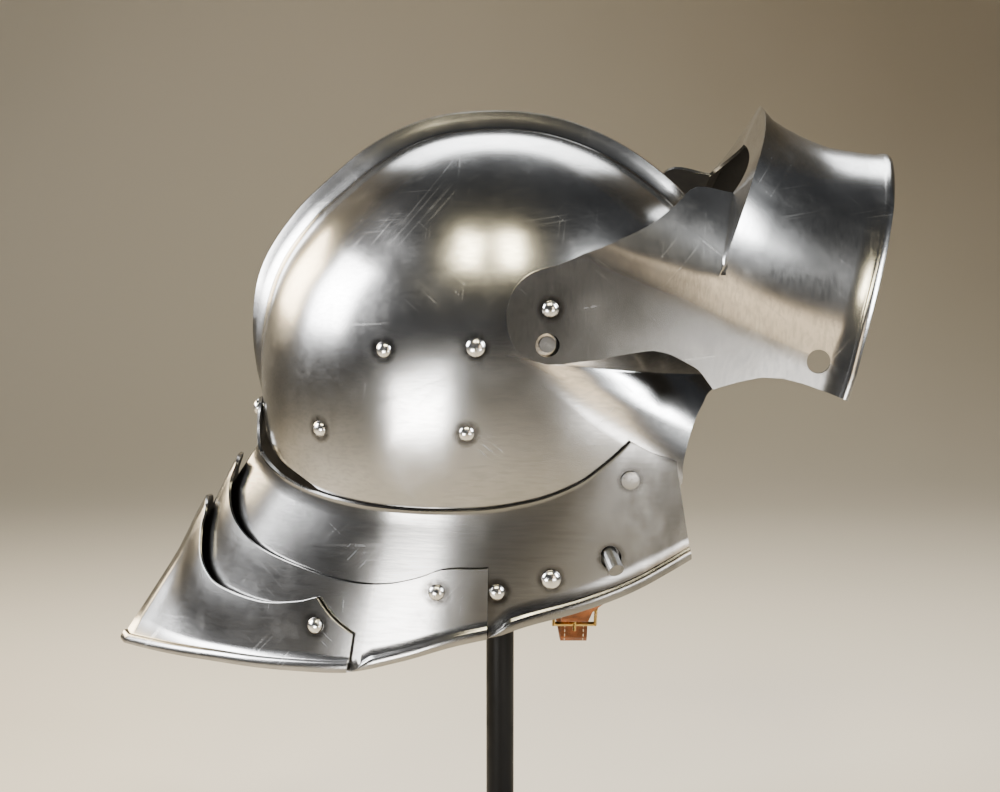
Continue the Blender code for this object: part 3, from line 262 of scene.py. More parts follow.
def ease(share):
    share = min(max(share, 0.0), 1.0)
    return share * share * (3 - 2 * share)


def bowl_angle(degrees):
    return (degrees - BOWL_OUTLINE[0][0]) % 360 + BOWL_OUTLINE[0][0]


def bowl_reach(degrees):
    return BOWL_REACH * read_row(BOWL_OUTLINE, bowl_angle(degrees), 1)


def bowl_depth(x, z, grow=0.0):
    """Half width of the bowl at a place in the side view, on a face moved out by grow."""
    dx, dz = x - EAR.x, z - EAR.z
    reach = bowl_reach(math.degrees(math.atan2(dz, dx))) + grow
    return (BOWL_HALF_WIDTH + grow) * math.sqrt(max(0.0, 1 - (dx * dx + dz * dz) / reach**2))


def bowl_back(y, z, grow):
    """Place along X of the bowl's back, on a face moved out by grow."""
    x = -BOWL_REACH
    for _ in range(6):
        reach = bowl_reach(math.degrees(math.atan2(z - EAR.z, x))) + grow
        level = reach * reach * (1 - (y / (BOWL_HALF_WIDTH + grow))**2) - (z - EAR.z)**2
        x = -math.sqrt(max(0.0, level))
    return x


def bowl_point(degrees, latitude):
    """Point of the right half of the bowl; latitude 0 is the ear and 90 the medial plane."""
    depth = BOWL_HALF_WIDTH * math.cos(math.radians(latitude))
    side = (depth - COMB_HALF_TOP) / (COMB_HALF_BASE - COMB_HALF_TOP)
    comb = COMB_HEIGHT * read_row(COMB_RUN, bowl_angle(degrees), 1) * (1 - ease(side))
    reach = bowl_reach(degrees) * math.sin(math.radians(latitude)) + comb
    a = math.radians(degrees)
    return EAR + Vector((reach * math.cos(a), -depth if latitude < 90 else 0.0, reach * math.sin(a)))


def rim_depth(x):
    if x < RIM_WIDEST_X:
        share = (RIM_WIDEST_X - x) / (RIM_WIDEST_X + TAIL_REACH)
        return RIM_HALF_WIDTH * max(0.0, 1 - share * share)
    share = (x - RIM_WIDEST_X) / (CHEEK_REACH - RIM_WIDEST_X)
    return RIM_HALF_WIDTH - (RIM_HALF_WIDTH - CHEEK_HALF_WIDTH) * share * share


def skirt_point(around, down):
    corners = (CHEEK_POINT,)
    hip_x = BOWL_REACH * read_row(SKIRT, around, 1, corners)
    hip_z = EAR.z - HIP_DROP * read_row(SKIRT, around, 2, corners)
    rim_share = read_row(SKIRT, around, 3)
    rim_x = rim_share * (TAIL_REACH if rim_share < 0 else CHEEK_REACH)
    rim_z = EAR.z - TAIL_DROP * read_row(SKIRT, around, 4)
    standoff = BACK_STANDOFF * (1 - ease(around / STANDOFF_END))
    hip_depth = bowl_depth(hip_x, hip_z, LAP + standoff) if around > 0 else 0.0
    return Vector((hip_x, -hip_depth, hip_z)).lerp(Vector((rim_x, -rim_depth(rim_x), rim_z)), down)


def skirt_normal(around, down):
    step = 0.002
    lower, upper = max(0.0, around - step), min(1.0, around + step)
    along = skirt_point(upper, down) - skirt_point(lower, down)
    across = skirt_point(around, down + step) - skirt_point(around, down - step)
    normal = across.cross(along).normalized()
    if around == 0:
        normal = Vector((normal.x, 0.0, normal.z)).normalized()
    return normal


def lame_column(around, top, bottom, offset, lift, rolled, steps):
    """Points of one lame from its upper edge to its hem, with the rolled rim at the hem."""
    length = (skirt_point(around, 1) - skirt_point(around, 0)).length
    band = RIM_BAND / length
    body_end = bottom - band * rolled
    shares = [(top + (body_end - top) * k / steps, 0.0) for k in range(steps + 1)]
    shares += [(body_end + band * rolled * k, roll * rolled) for k, roll in LAME_ROLL]
    column = []
    for down, roll in shares:
        out = offset + roll * RIM_ROLL
        out += lift * (1 - ease(around / LIFT_END)) * (1 - ease((down - top) / LIFT_DEPTH))
        point = skirt_point(around, down) + skirt_normal(around, down) * out
        if around == 0:
            point.y = 0.0
        column.append(point)
    return column


def spread(start, end, count, extra=()):
    even = [start + (end - start) * k / count for k in range(count + 1)]
    kept = [a for a in even if all(abs(a - b) > (end - start) / count * 0.3 for b in extra)]
    return sorted(set(kept + list(extra)))


def front_lame_columns():
    columns = []
    for around in spread(0.0, 1.0, 90, (CHEEK_POINT, FRONT_LAME_HEM[-1][0], *FRONT_ROLL, 1.0)):
        bottom = read_row(FRONT_LAME_HEM, around, 1)
        rolled = ease((around - FRONT_ROLL[0]) / ROLL_RAMP)
        column = lame_column(around, 0.0, bottom, 0.0, 0.0, rolled, 8)
        hip = column[0]
        collar = COLLAR + (TAB_HEIGHT - COLLAR) * (1 - ease(around / TAB_SHARE))
        lifted = []
        for share in (1.0, 0.75, 0.5, 0.25):
            top = hip + Vector((0, 0, collar * share))
            if around < TAB_SHARE:
                out = LAP + BACK_STANDOFF * ease(around / TAB_SHARE)
                top.x = hip.x + (bowl_back(top.y, top.z, out) - hip.x) * share
            else:
                standoff = BACK_STANDOFF * (1 - ease(around / STANDOFF_END))
                top.y = hip.y + (-bowl_depth(top.x, top.z, LAP + standoff) - hip.y) * share
            lifted.append(top)
        columns.append(lifted + column)
    return columns


def middle_lame_columns():
    columns = []
    turns = (MIDDLE_LAME_HEM[-1][0], *MIDDLE_ROLL, MIDDLE_LAME_POINT, MIDDLE_LAME_END)
    for around in spread(0.0, MIDDLE_LAME_END, 66, turns):
        top = read_row(MIDDLE_LAME_EDGE, around, 1)
        bottom = read_row(MIDDLE_LAME_HEM, around, 1)
        rolled = ease((around - MIDDLE_ROLL[0]) / ROLL_RAMP)
        columns.append(lame_column(around, top, bottom, LAP, LAME_LIFT, rolled, 8))
    return columns


def rear_lame_columns():
    columns = []
    end = REAR_LAME_EDGE[-1][0]
    for around in spread(0.0, end, 54, (REAR_LAME_POINT, end)):
        top = read_row(REAR_LAME_EDGE, around, 1, (REAR_LAME_POINT,))
        columns.append(lame_column(around, top, 1.0, 2 * LAP, LAME_LIFT, 1.0, 8))
    return columns


def bowl_columns():
    """Columns from the ear outwards, ending at the lower edge or at the medial plane."""
    corners = [[Vector((BOWL_REACH * x, 0, -HIP_DROP * drop))] for x, drop in reversed(BOWL_LOWER_EDGE)]
    edge = [(math.degrees(math.atan2(p.z, p.x)) % 360, p.length) for p, in thicken_columns(corners, 6, ())]
    latitudes = [COMB_LATITUDE * k / 16 for k in range(17)]
    latitudes += [COMB_LATITUDE + (90 - COMB_LATITUDE) * k / 10 for k in range(1, 11)]
    ends = [(degrees, 90.0) for degrees in spread(edge[-1][0] - 360, edge[0][0], 110)]
    for degrees, reach in edge[1:-1]:
        ends.append((degrees, math.degrees(math.asin(min(1.0, reach / bowl_reach(degrees))))))
    columns = []
    for degrees, end in ends + ends[:1]:
        columns.append([bowl_point(degrees, latitude * end / 90) for latitude in latitudes])
        columns[-1][0] = EAR + Vector((0, -BOWL_HALF_WIDTH, 0))
    return columns


def visor_half_width(z):
    return BOWL_HALF_WIDTH + PLATE + VISOR_GAP - VISOR_TAPER * ease(-z / VISOR_DROP)


def visor_point(plan_angle, z, reach=None):
    if reach is None:
        reach = VISOR_REACH * read_row(VISOR_PROFILE, -z / VISOR_DROP, 1)
    a = math.radians(plan_angle)
    x = VISOR_CENTRE + (reach - VISOR_CENTRE) * math.cos(a)
    depth = visor_half_width(z) * abs(math.sin(a)) ** VISOR_KEEL
    return Vector((x, -depth if plan_angle > 0 else 0.0, z))


def visor_depth(x, z, reach):
    share = max(0.0, (x - VISOR_CENTRE) / (reach - VISOR_CENTRE))
    return visor_half_width(z) * math.sqrt(max(0.0, 1 - share * share))


def fill(start, end, count):
    return [start.lerp(end, k / count) for k in range(1, count + 1)]


def face_points(start_z, end_z, point_at, rolled, steps=8):
    band = VISOR_RIM_BAND * rolled
    body_end = end_z + band
    heights = [(start_z + (body_end - start_z) * k / steps, 0.0) for k in range(1, steps + 1)]
    heights += [(body_end - band * k, roll) for k, roll in VISOR_ROLL]
    column = []
    for z, roll in heights:
        point = point_at(z)
        outward = Vector((point.x - VISOR_CENTRE, point.y, 0)).normalized()
        column.append(point + outward * roll * rolled * VISOR_RIM_ROLL)
    return column


def visor_face_columns():
    """Columns of the visor's face, from the medial plane to the line where its side begins."""
    brow_angle = VISOR_FRONT[BROW_COLUMN][0]
    corner_z = -VISOR_DROP * (BROW_DROP - BROW_RISE)
    corner = visor_point(brow_angle * BROW_NARROWING, corner_z, VISOR_EDGE_REACH)
    notch = visor_point(VISOR_FRONT[-1][0], -VISOR_DROP * VISOR_FRONT[-1][1], VISOR_REACH)
    columns = []
    for k, (angle, ridge_drop, rim_drop) in enumerate(VISOR_FRONT):
        ridge = visor_point(angle, -VISOR_DROP * ridge_drop, VISOR_REACH)
        if k <= BROW_COLUMN:
            drop = BROW_DROP + BROW_BOW * math.sin(math.pi * k / BROW_COLUMN) - BROW_RISE * k / BROW_COLUMN
            edge = visor_point(angle * BROW_NARROWING, -VISOR_DROP * drop, VISOR_EDGE_REACH)
            edge = corner if k == BROW_COLUMN else edge
            valley = edge
        else:
            reach, drop, share = VISOR_TEMPLE[k - BROW_COLUMN - 1]
            x, z = VISOR_REACH * reach, -VISOR_DROP * drop
            edge = Vector((x, -visor_depth(x, z, VISOR_EDGE_REACH * TEMPLE_NARROWING), z))
            valley = corner.lerp(notch, share)
            valley.y -= VISOR_TEMPLE_SWELL * math.sin(math.pi * share)
        column = [edge] + fill(edge, valley, 5) + fill(valley, ridge, 4)
        columns.append(column + face_points(ridge.z, -VISOR_DROP * rim_drop,
                                            lambda z, a=angle: visor_point(a, z), 1.0))
    top_z, low_z = -VISOR_DROP * VISOR_SIDE_LINE[1], -VISOR_DROP * VISOR_SIDE_LINE[3]
    crease_z = top_z + (low_z - top_z) * VISOR_CREASE
    column = [visor_side_line(top_z + (crease_z - top_z) * j / 9) for j in range(10)]
    columns.append(column + face_points(crease_z, low_z, visor_side_line, 1.0))
    return thicken_columns(columns, 4, (BROW_COLUMN,))


def visor_side_point(x, z):
    """Point of the visor's right side at a place in its side view."""
    reach = VISOR_REACH * read_row(VISOR_PROFILE, -z / VISOR_DROP, 1)
    return Vector((x, -visor_depth(x, z, reach), z))


def visor_side_line(z):
    """Point at a height on the line where the visor's face meets its side."""
    top_reach, top_drop, low_reach, low_drop = VISOR_SIDE_LINE
    share = (-z / VISOR_DROP - top_drop) / (low_drop - top_drop)
    return visor_side_point(VISOR_REACH * (top_reach + (low_reach - top_reach) * share), z)


def visor_side_columns(line, count=16, levels=(1.0, 0.995, 0.98, 0.95, 0.9, 0.82, 0.7, 0.55, 0.4, 0.2)):
    """Columns of the visor's side, from its front line to the rear edge, with the arm on top."""
    crown, join, foot = VISOR_ARM_TOP[0][0], VISOR_SIDE_LINE[1], VISOR_SIDE_LINE[3]
    rows = []
    for level in levels:
        drop = join + (crown - join) * level
        front, rear = [Vector((VISOR_REACH * read_row(edge, drop, 1), 0, -VISOR_DROP * drop))
                       for edge in (VISOR_ARM_TOP, VISOR_REAR_EDGE)]
        rows.append((front, rear, Vector()))
    shares = [(-point.z / VISOR_DROP - join) / (foot - join) for point in line]
    tip = min(shares, key=lambda share: abs(share - VISOR_TIP_DROP))
    for point, share in zip(line, shares):
        if share <= tip:
            drop = join + (VISOR_TIP_DROP - join) * share / tip
        else:
            drop = VISOR_TIP_DROP + (1 - VISOR_TIP_DROP) * (share - tip) / (1 - tip)
        reach = read_row(VISOR_REAR_EDGE, drop, 1, (VISOR_TIP_DROP,))
        base = visor_side_line(point.z)
        rows.append((base, Vector((VISOR_REACH * reach, 0, -VISOR_DROP * drop)), point - base))
    columns = []
    for k in range(count + 1):
        places = [(front.lerp(rear, k / count), roll) for front, rear, roll in rows]
        columns.append([visor_side_point(place.x, place.z) + roll for place, roll in places])
    return columns


def thicken_columns(columns, parts, corners):
    """Smooth columns laid between the given ones, on curves that turn sharply at corners."""
    made = []
    last = len(columns) - 1
    for k in range(last):
        for j in range(parts):
            t = j / parts
            row = []
            for i, (start, end) in enumerate(zip(columns[k], columns[k + 1])):
                before = columns[k - 1][i] if k > 0 and k not in corners else start * 2 - end
                after = columns[k + 2][i] if k < last - 1 and k + 1 not in corners else end * 2 - start
                if k == 0:
                    before = Vector((end.x, -end.y, end.z))
                row.append(0.5 * (2 * start + (end - before) * t
                                  + (2 * before - 5 * start + 4 * end - after) * t**2
                                  + (3 * start - before - 3 * end + after) * t**3))
            made.append(row)
    return made + [columns[-1]]


class Wire:
    """A shader socket that takes part in arithmetic."""

    def __init__(self, nodes, socket):
        self.nodes = nodes
        self.socket = socket

    def _math(self, operation, *values):
        return self.nodes.add("ShaderNodeMath", {"operation": operation}, dict(enumerate(values)))

    def __add__(self, other):
        return self._math("ADD", self, other)

    def __radd__(self, other):
        return self._math("ADD", other, self)

    def __sub__(self, other):
        return self._math("SUBTRACT", self, other)

    def __rsub__(self, other):
        return self._math("SUBTRACT", other, self)

    def __mul__(self, other):
        return self._math("MULTIPLY", self, other)

    def __rmul__(self, other):
        return self._math("MULTIPLY", other, self)

    def least(self, other):
        return self._math("MINIMUM", self, other)

    def step(self, low, high, start=0.0, end=1.0):
        """Smoothly from start to end as this value goes from low to high."""
        settings = {"interpolation_type": "SMOOTHSTEP"}
        values = {0: self, 1: low, 2: high, 3: start, 4: end}
        return self.nodes.add("ShaderNodeMapRange", settings, values)


class Shader:
    """Node tree of one finish."""

    def __init__(self, name, **constants):
        self.material = bpy.data.materials.new(name)
        self.material.use_nodes = True
        self.tree = self.material.node_tree
        self.principled = self.tree.nodes["Principled BSDF"]
        for key, value in constants.items():
            self.principled.inputs[key.replace("_", " ")].default_value = value
        self.place = self.add("ShaderNodeTexCoord", {}, {}, "Object")

    def add(self, kind, settings, values, output=0):
        """A node of a type: settings first, then values or links by socket, and one output."""
        node = self.tree.nodes.new(kind)
        for key, value in settings.items():
            setattr(node, key, value)
        for key, value in values.items():
            if isinstance(value, Wire):
                self.tree.links.new(value.socket, node.inputs[key])
            else:
                node.inputs[key].default_value = value
        return Wire(self, node.outputs[output])

    def scaled(self, factors, turn=0.0):
        """Place in the part, turned about the side-to-side axis and stretched."""
        turned = self.add("ShaderNodeVectorRotate", {"rotation_type": "Y_AXIS"},
                          {"Vector": self.place, "Angle": turn})
        return self.add("ShaderNodeVectorMath", {"operation": "MULTIPLY"}, {0: turned, 1: factors})

    def noise(self, scale, detail=3.0, stretch=(1, 1, 1), roughness=0.5, turn=0.0):
        return self.add("ShaderNodeTexNoise", {}, {
            "Vector": self.scaled(stretch, turn), "Scale": scale, "Detail": detail, "Roughness": roughness})

    def part(self, name):
        return self.add("ShaderNodeSeparateXYZ", {}, {0: self.place}, name)

    def mix(self, share, start, end):
        """Colour from start to end by a share."""
        return self.add("ShaderNodeMix", {"data_type": "RGBA"}, {0: share, 6: start, 7: end}, 2)

    def near(self, places):
        """Distance to the nearest of some places; both sides of the medial plane count as one."""
        folded = self.add("ShaderNodeVectorMath", {"operation": "ABSOLUTE"}, {0: self.place})
        depth = self.add("ShaderNodeSeparateXYZ", {}, {0: folded}, "Y")
        point = self.add("ShaderNodeCombineXYZ", {}, {0: self.part("X"), 1: depth, 2: self.part("Z")})
        nearest = None
        for place in places:
            spot = Vector((place.x, abs(place.y), place.z))
            away = self.add("ShaderNodeVectorMath", {"operation": "DISTANCE"}, {0: point, 1: spot}, "Value")
            nearest = away if nearest is None else nearest.least(away)
        return nearest

    def finish(self, colour=None, roughness=None, bump=None, strength=0.2, depth=0.0002, metallic=None):
        links = {"Base Color": colour, "Roughness": roughness, "Metallic": metallic}
        if bump is not None:
            links["Normal"] = self.add("ShaderNodeBump", {}, {
                "Strength": strength, "Distance": depth, "Height": bump}, "Normal")
        for key, wire in links.items():
            if wire is not None:
                self.tree.links.new(wire.socket, self.principled.inputs[key])
        return self.material


def grey(level, warmth=0.0):
    """Steel colour of a level, a little warmer or colder."""
    return (level * (1 + warmth), level, level * (1 - 1.6 * warmth), 1)


def brushed_steel(name, look, grain, places=(), soot=0.0, painted_shade=1.0):
    """Satin steel plate with brush lines along a stretch, fine scratches, haze and dirt at rivets; the last
    argument darkens the whole plate's steel as painted shade.
    """
    shader = Shader(name, Metallic=1.0)
    # painted shade: a factor below one draws the whole plate's steel darker
    level = look.level * painted_shade
    lines = shader.noise(420, 2.0, grain, 0.6)
    haze = shader.noise(17, 4.0, (1, 1, 1), 0.6)
    patches = shader.noise(46, 5.0, (1, 1.4, 0.8), 0.65)
    scratch = None
    for k, turn in enumerate((0.12, 0.85, -0.7, 1.45)):
        hairs = shader.noise(620 + 110 * k, 0.0, (0.03, 0.03, 1.2), 0.3, turn).step(0.70, 0.80)
        worn = shader.noise(26 + 9 * k, 2.0).step(0.50, 0.68)
        scratch = hairs * worn if scratch is None else scratch + hairs * worn
    colour = shader.mix(haze.step(0.35, 0.7), grey(level * 0.88, look.warmth * 1.5),
                        grey(level * 1.06, look.warmth * 0.4))
    colour = shader.mix(patches.step(0.52, 0.76, 0.0, 0.22), colour, grey(level * 0.62, look.warmth))
    roughness = look.roughness + (haze - 0.5) * 0.12 + (lines - 0.5) * 0.08
    roughness = roughness + patches.step(0.5, 0.75, 0.0, 0.05) + scratch * 0.06
    if places:
        away = shader.near(places)
        dirt = away.step(5.0 * MM, 8.5 * MM, 1.0, 0.0) * shader.noise(300, 3.0).step(0.25, 0.6, 0.45, 1.0)
        smear = away.step(7 * MM, 22 * MM, 1.0, 0.0) * shader.noise(90, 4.0, (1, 1, 0.25)).step(0.52, 0.72)
        colour = shader.mix(dirt * 0.85, colour, DIRT)
        colour = shader.mix(smear * 0.4, colour, SMEAR)
    if soot:
        front = shader.part("X").step(35 * MM, 78 * MM)
        front = front * shader.noise(60, 5.0, (1, 1, 0.5)).step(0.36, 0.62)
        colour = shader.mix(front * soot, colour, grey(level * 0.34, 0.02))
    colour = shader.mix(lines.step(0.42, 0.66, 0.0, 0.3), colour, grey(level * 0.6))
    height = lines * 0.6 + haze * 1.5 - scratch * 0.15
    return shader.finish(colour, roughness, height, 0.10, 0.0002)


def blackened_inside_and_shade():
    """Dull, blackened steel for the inside of a plate, made once; its near-black colour also paints the
    shade in the gaps between plates and inside the visor.
    """
    made = bpy.data.materials.get("inner_steel_and_painted_shade")
    return made or plain_finish("inner_steel_and_painted_shade", (0.022, 0.020, 0.018), 0.4, 0.62, 400, 0.2)


def polished_steel(name, level, roughness):
    shader = Shader(name, Metallic=1.0)
    spots = shader.noise(380, 4.0)
    wear = shader.noise(900, 2.0)
    colour = shader.mix(spots.step(0.55, 0.75, 0.0, 0.5), grey(level, 0.01), grey(level * 0.45, 0.04))
    return shader.finish(colour, roughness + spots.step(0.45, 0.75, 0.0, 0.2), wear, 0.12, 0.0001)


def brown_leather(name, colour):
    shader = Shader(name, Specular_IOR_Level=0.4)
    grain = shader.add("ShaderNodeTexVoronoi", {"feature": "DISTANCE_TO_EDGE"},
                       {"Vector": shader.place, "Scale": 900.0}, "Distance")
    tone = shader.noise(120, 4.0)
    dark = tuple(c * 0.45 for c in colour[:3]) + (1,)
    light = tuple(min(1.0, c * 1.5) for c in colour[:3]) + (1,)
    tinted = shader.mix(tone.step(0.3, 0.7), dark, light)
    return shader.finish(tinted, 0.42 + tone * 0.3, grain.step(0.0, 0.2) + tone * 0.5, 0.35, 0.0003)


def plain_finish(name, colour, metallic, roughness, scale, strength=0.15, shine=0.5):
    """Cast, painted or moulded surface with a fine uneven grain and worn spots."""
    shader = Shader(name, Metallic=metallic, Specular_IOR_Level=shine)
    grain = shader.noise(scale, 4.0)
    spots = shader.noise(scale * 0.12, 5.0, (1, 1, 0.6), 0.65)
    worn = tuple(c * 0.62 for c in colour[:3]) + (1,)
    tinted = shader.mix(spots.step(0.42, 0.72, 0.0, 0.6), (*colour[:3], 1), worn)
    return shader.finish(tinted, roughness + (grain - 0.5) * 0.12 + spots.step(0.45, 0.7, 0.0, 0.12),
                         grain, strength, 0.0002)


def new_piece(name, mesh, finish, body, slot, *nodes):
    """A finished piece that rides on a body and stands for the part's nodes."""
    made = bpy.data.objects.new(name, mesh)
    bpy.context.scene.collection.objects.link(made)
    made.data.materials.clear()
    made.data.materials.append(finish)
    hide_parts(*nodes)
    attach(made, body)
    return made


def mesh_of(bm, name, angle=38):
    mesh = bpy.data.meshes.new(name)
    bm.to_mesh(mesh)
    bm.free()
    mesh.shade_smooth()
    mesh.set_sharp_from_angle(angle=math.radians(angle))
    return mesh


def plate_mesh(name, patches, inside):
    """Both halves of a plate as one surface facing away from the point inside."""
    bm = bmesh.new()
    found = {}

    def vertex(point):
        key = tuple(round(c / (0.005 * MM)) for c in point)
        if key not in found:
            found[key] = bm.verts.new(point)
        return found[key]

    for side, columns in [(side, columns) for side in (1, -1) for columns in patches]:
        flip = [[Vector((p.x, p.y * side, p.z)) for p in column] for column in columns]
        for left, right in zip(flip, flip[1:]):
            for k in range(len(left) - 1):
                ring = [vertex(p) for p in (left[k], right[k], right[k + 1], left[k + 1])]
                corners = [v for i, v in enumerate(ring) if v is not ring[i - 1]]
                if len(set(corners)) > 2 and not bm.faces.get(corners):
                    bm.faces.new(corners if side > 0 else corners[::-1])
    bmesh.ops.recalc_face_normals(bm, faces=bm.faces)
    outward = sum(f.normal.dot(f.calc_center_median() - inside) * f.calc_area() for f in bm.faces)
    if outward < 0:
        bmesh.ops.reverse_faces(bm, faces=bm.faces)
    return mesh_of(bm, name)


def soften(made, name, width, angle):
    """Rounds a piece's edges that are sharper than an angle in degrees."""
    soft = made.modifiers.new(name, "BEVEL")
    soft.width = width
    soft.segments = 2
    soft.limit_method = "ANGLE"
    soft.angle_limit = math.radians(angle)
    return soft


def dress_plate(made, inner):
    """Sheet thickness with its own near-black inner face, which partly paints shade, and softened rims."""
    made.data.materials.append(inner)
    skin = made.modifiers.new("thickness", "SOLIDIFY")
    skin.thickness = PLATE
    skin.offset = -1
    # inner faces take the near-black inside: blackened steel, and painted shade in the gaps and inside the
    # visor
    skin.material_offset = 1
    soften(made, "rims", RIM_SOFTNESS, 50).harden_normals = True


def cut_holes(made, places):
    """Round holes through a plate; places holds a centre, an axis and a radius each."""
    bm = bmesh.new()
    for centre, axis, radius in places:
        turn = axis.to_track_quat("Z", "Y").to_matrix().to_4x4()
        bmesh.ops.create_cone(bm, cap_ends=True, segments=48, radius1=radius, radius2=radius,
                              depth=26 * MM, matrix=Matrix.Translation(centre) @ turn)
    cutter = bpy.data.objects.new(made.name + "_cut", mesh_of(bm, made.name + "_cut"))
    bpy.context.scene.collection.objects.link(cutter)
    cut = made.modifiers.new("holes", "BOOLEAN")
    cut.object = cutter
    cut.solver = "EXACT"
    made.modifiers.move(len(made.modifiers) - 1, 1)
    bpy.context.view_layer.update()
    ready = bpy.data.meshes.new_from_object(made.evaluated_get(bpy.context.evaluated_depsgraph_get()))
    made.modifiers.clear()
    made.data = ready
    bpy.data.objects.remove(cutter)


def turned_mesh(name, profile, place, axis, sides=48):
    """Turned piece from a profile of radius and height, its top along axis."""
    bm = bmesh.new()
    rings = []
    for radius, height in profile:
        if radius == 0:
            rings.append([bm.verts.new((0, 0, height))])
        else:
            rings.append([bm.verts.new((radius * math.cos(2 * math.pi * k / sides),
                                        radius * math.sin(2 * math.pi * k / sides), height))
                          for k in range(sides)])
    for one, other in zip(rings, rings[1:]):
        for k in range(sides):
            j = (k + 1) % sides
            ring = [one[k % len(one)], one[j % len(one)], other[j % len(other)], other[k % len(other)]]
            corners = [v for i, v in enumerate(ring) if v is not ring[i - 1]]
            bm.faces.new(corners)
    bmesh.ops.recalc_face_normals(bm, faces=bm.faces)
    turn = axis.to_track_quat("Z", "Y").to_matrix().to_4x4()
    bmesh.ops.transform(bm, verts=bm.verts, matrix=Matrix.Translation(place) @ turn)
    return mesh_of(bm, name)


def node_axis(node):
    """Axis of a turned node, pointing outwards, with its centre and its ends along the axis."""
    points = np.array([v.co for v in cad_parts[node].data.vertices])
    centre = points.mean(axis=0)
    values, vectors = np.linalg.eigh(np.cov((points - centre).T))
    odd = 2 if values[2] - values[1] > values[1] - values[0] else 0
    axis = Vector(vectors[:, odd]).normalized()
    middle = Vector(centre)
    outward = Vector((0, middle.y, 0)) if abs(middle.y) > 1 * MM else Vector((-1, 0, 0))
    if axis.dot(outward) < 0:
        axis.negate()
    along = [(Vector(p) - middle).dot(axis) for p in points]
    return middle, axis, min(along), max(along)


class SalletSizes(bpy.types.PropertyGroup):
    """Sizes that a maker would change."""

    dome_radius: bpy.props.FloatProperty(
        name="Rivet radius", description="Radius of the domed rivet heads",
        default=4.1 * MM, unit="LENGTH")
    dome_height: bpy.props.FloatProperty(
        name="Rivet height", description="Height of the domed rivet heads",
        default=2.7 * MM, unit="LENGTH")
    spring_radius: bpy.props.FloatProperty(
        name="Spring rivet radius", description="Radius of the rivets that hold the catches' springs",
        default=5 * MM, unit="LENGTH")
    stitch_pitch: bpy.props.FloatProperty(
        name="Stitch pitch", description="Distance from one stitch of the strap to the next",
        default=3.2 * MM, unit="LENGTH")
    view_distance: bpy.props.FloatProperty(
        name="View distance", description="From the camera to the point that it looks at",
        default=1.25, unit="LENGTH")
    view_rise: bpy.props.FloatProperty(
        name="View rise", description="Elevation of the camera above the horizon",
        default=math.radians(9.3), subtype="ANGLE")


class SteelLook(bpy.types.PropertyGroup):
    """Finish of the plates, and the other pieces' colours."""

    level: bpy.props.FloatProperty(
        name="Level", description="Brightness of the bare steel", default=0.45, min=0, max=1)
    warmth: bpy.props.FloatProperty(
        name="Warmth", description="How far the steel leans to straw", default=0.012, min=-0.1, max=0.1)
    roughness: bpy.props.FloatProperty(
        name="Roughness", description="Roughness of the satin plates", default=0.2, min=0, max=1)
    leather: bpy.props.FloatVectorProperty(
        name="Leather", description="Colour of the chin strap", default=(0.23, 0.075, 0.022),
        subtype="COLOR")
    brass: bpy.props.FloatVectorProperty(
        name="Brass", description="Colour of the buckle", default=(0.66, 0.46, 0.16), subtype="COLOR")
    paint: bpy.props.FloatVectorProperty(
        name="Paint", description="Colour of the stand", default=(0.004, 0.004, 0.004), subtype="COLOR")
    floor: bpy.props.FloatVectorProperty(
        name="Floor", description="Colour of the plain floor", default=(0.66, 0.58, 0.45), subtype="COLOR")


class SALLET_OT_bowl(bpy.types.Operator):
    """Bowl with its comb"""

    bl_idname = "sallet.bowl"
    bl_label = "Bowl"

    def execute(self, context):
        look = context.scene.sallet_look
        places = [node_axis(f"{name}_right")[0] for name in BOWL_DIRT]
        finish = brushed_steel("bowl_steel", look, (0.25, 1.0, 1.6), places)
        made = new_piece("bowl_shell", plate_mesh("bowl_shell", [bowl_columns()], EAR), finish,
                         "helmet", "steel_plate", "bowl")
        dress_plate(made, blackened_inside_and_shade())
        return {"FINISHED"}


class SALLET_OT_lames(bpy.types.Operator):
    """The three plates of the skirt and tail"""

    bl_idname = "sallet.lames"
    bl_label = "Lames"

    def execute(self, context):
        look = context.scene.sallet_look
        pin_holes = []
        for side in SIDES:
            tip, axis = pin_end(side)
            pin_holes.append((tip - axis * PIN_LENGTH, axis, PIN_HOLE_RADIUS))
        places = [node_axis(f"{name}_right")[0] for name in SKIRT_DIRT] + [pin_holes[0][0]]
        # each row ends with its soot and then a factor that draws the lame's steel darker as painted shade
        rows = (("front_lame", front_lame_columns(), "helmet", (0.12, 0.4, 1.6), places, 0.7, 0.58),
                ("middle_lame", middle_lame_columns(), "middle_lame", (0.16, 0.4, 1.4),
                 [node_axis("middle_lame_pivot_right")[0]], 0.0, 0.75),
                ("rear_lame", rear_lame_columns(), "rear_lame", (0.2, 0.4, 1.2),
                 [node_axis("rear_lame_pivot_right")[0]], 0.0, 0.72))
        for name, columns, body, grain, dirt, soot, painted_shade in rows:
            finish = brushed_steel(name + "_steel", look, grain, dirt, soot, painted_shade)
            made = new_piece(name + "_plate", plate_mesh(name + "_plate", [columns], EAR), finish,
                             body, "steel_plate", name)
            dress_plate(made, blackened_inside_and_shade())
            if name == "front_lame":
                cut_holes(made, pin_holes)
        return {"FINISHED"}


def pin_end(side_name):
    """Centre and outward axis of the flat end of a lower catch's pin."""
    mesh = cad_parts["lower_catch_" + side_name].data
    cap = max(mesh.polygons, key=lambda polygon: abs(polygon.center.y))
    axis = cap.normal.copy()
    if axis.y * SIDES[side_name] < 0:
        axis.negate()
    flat = {tuple(round(c, 6) for c in v.co) for v in mesh.vertices
            if abs((v.co - cap.center).dot(axis)) < 0.02 * MM}
    return sum((Vector(place) for place in flat), Vector()) / len(flat), axis


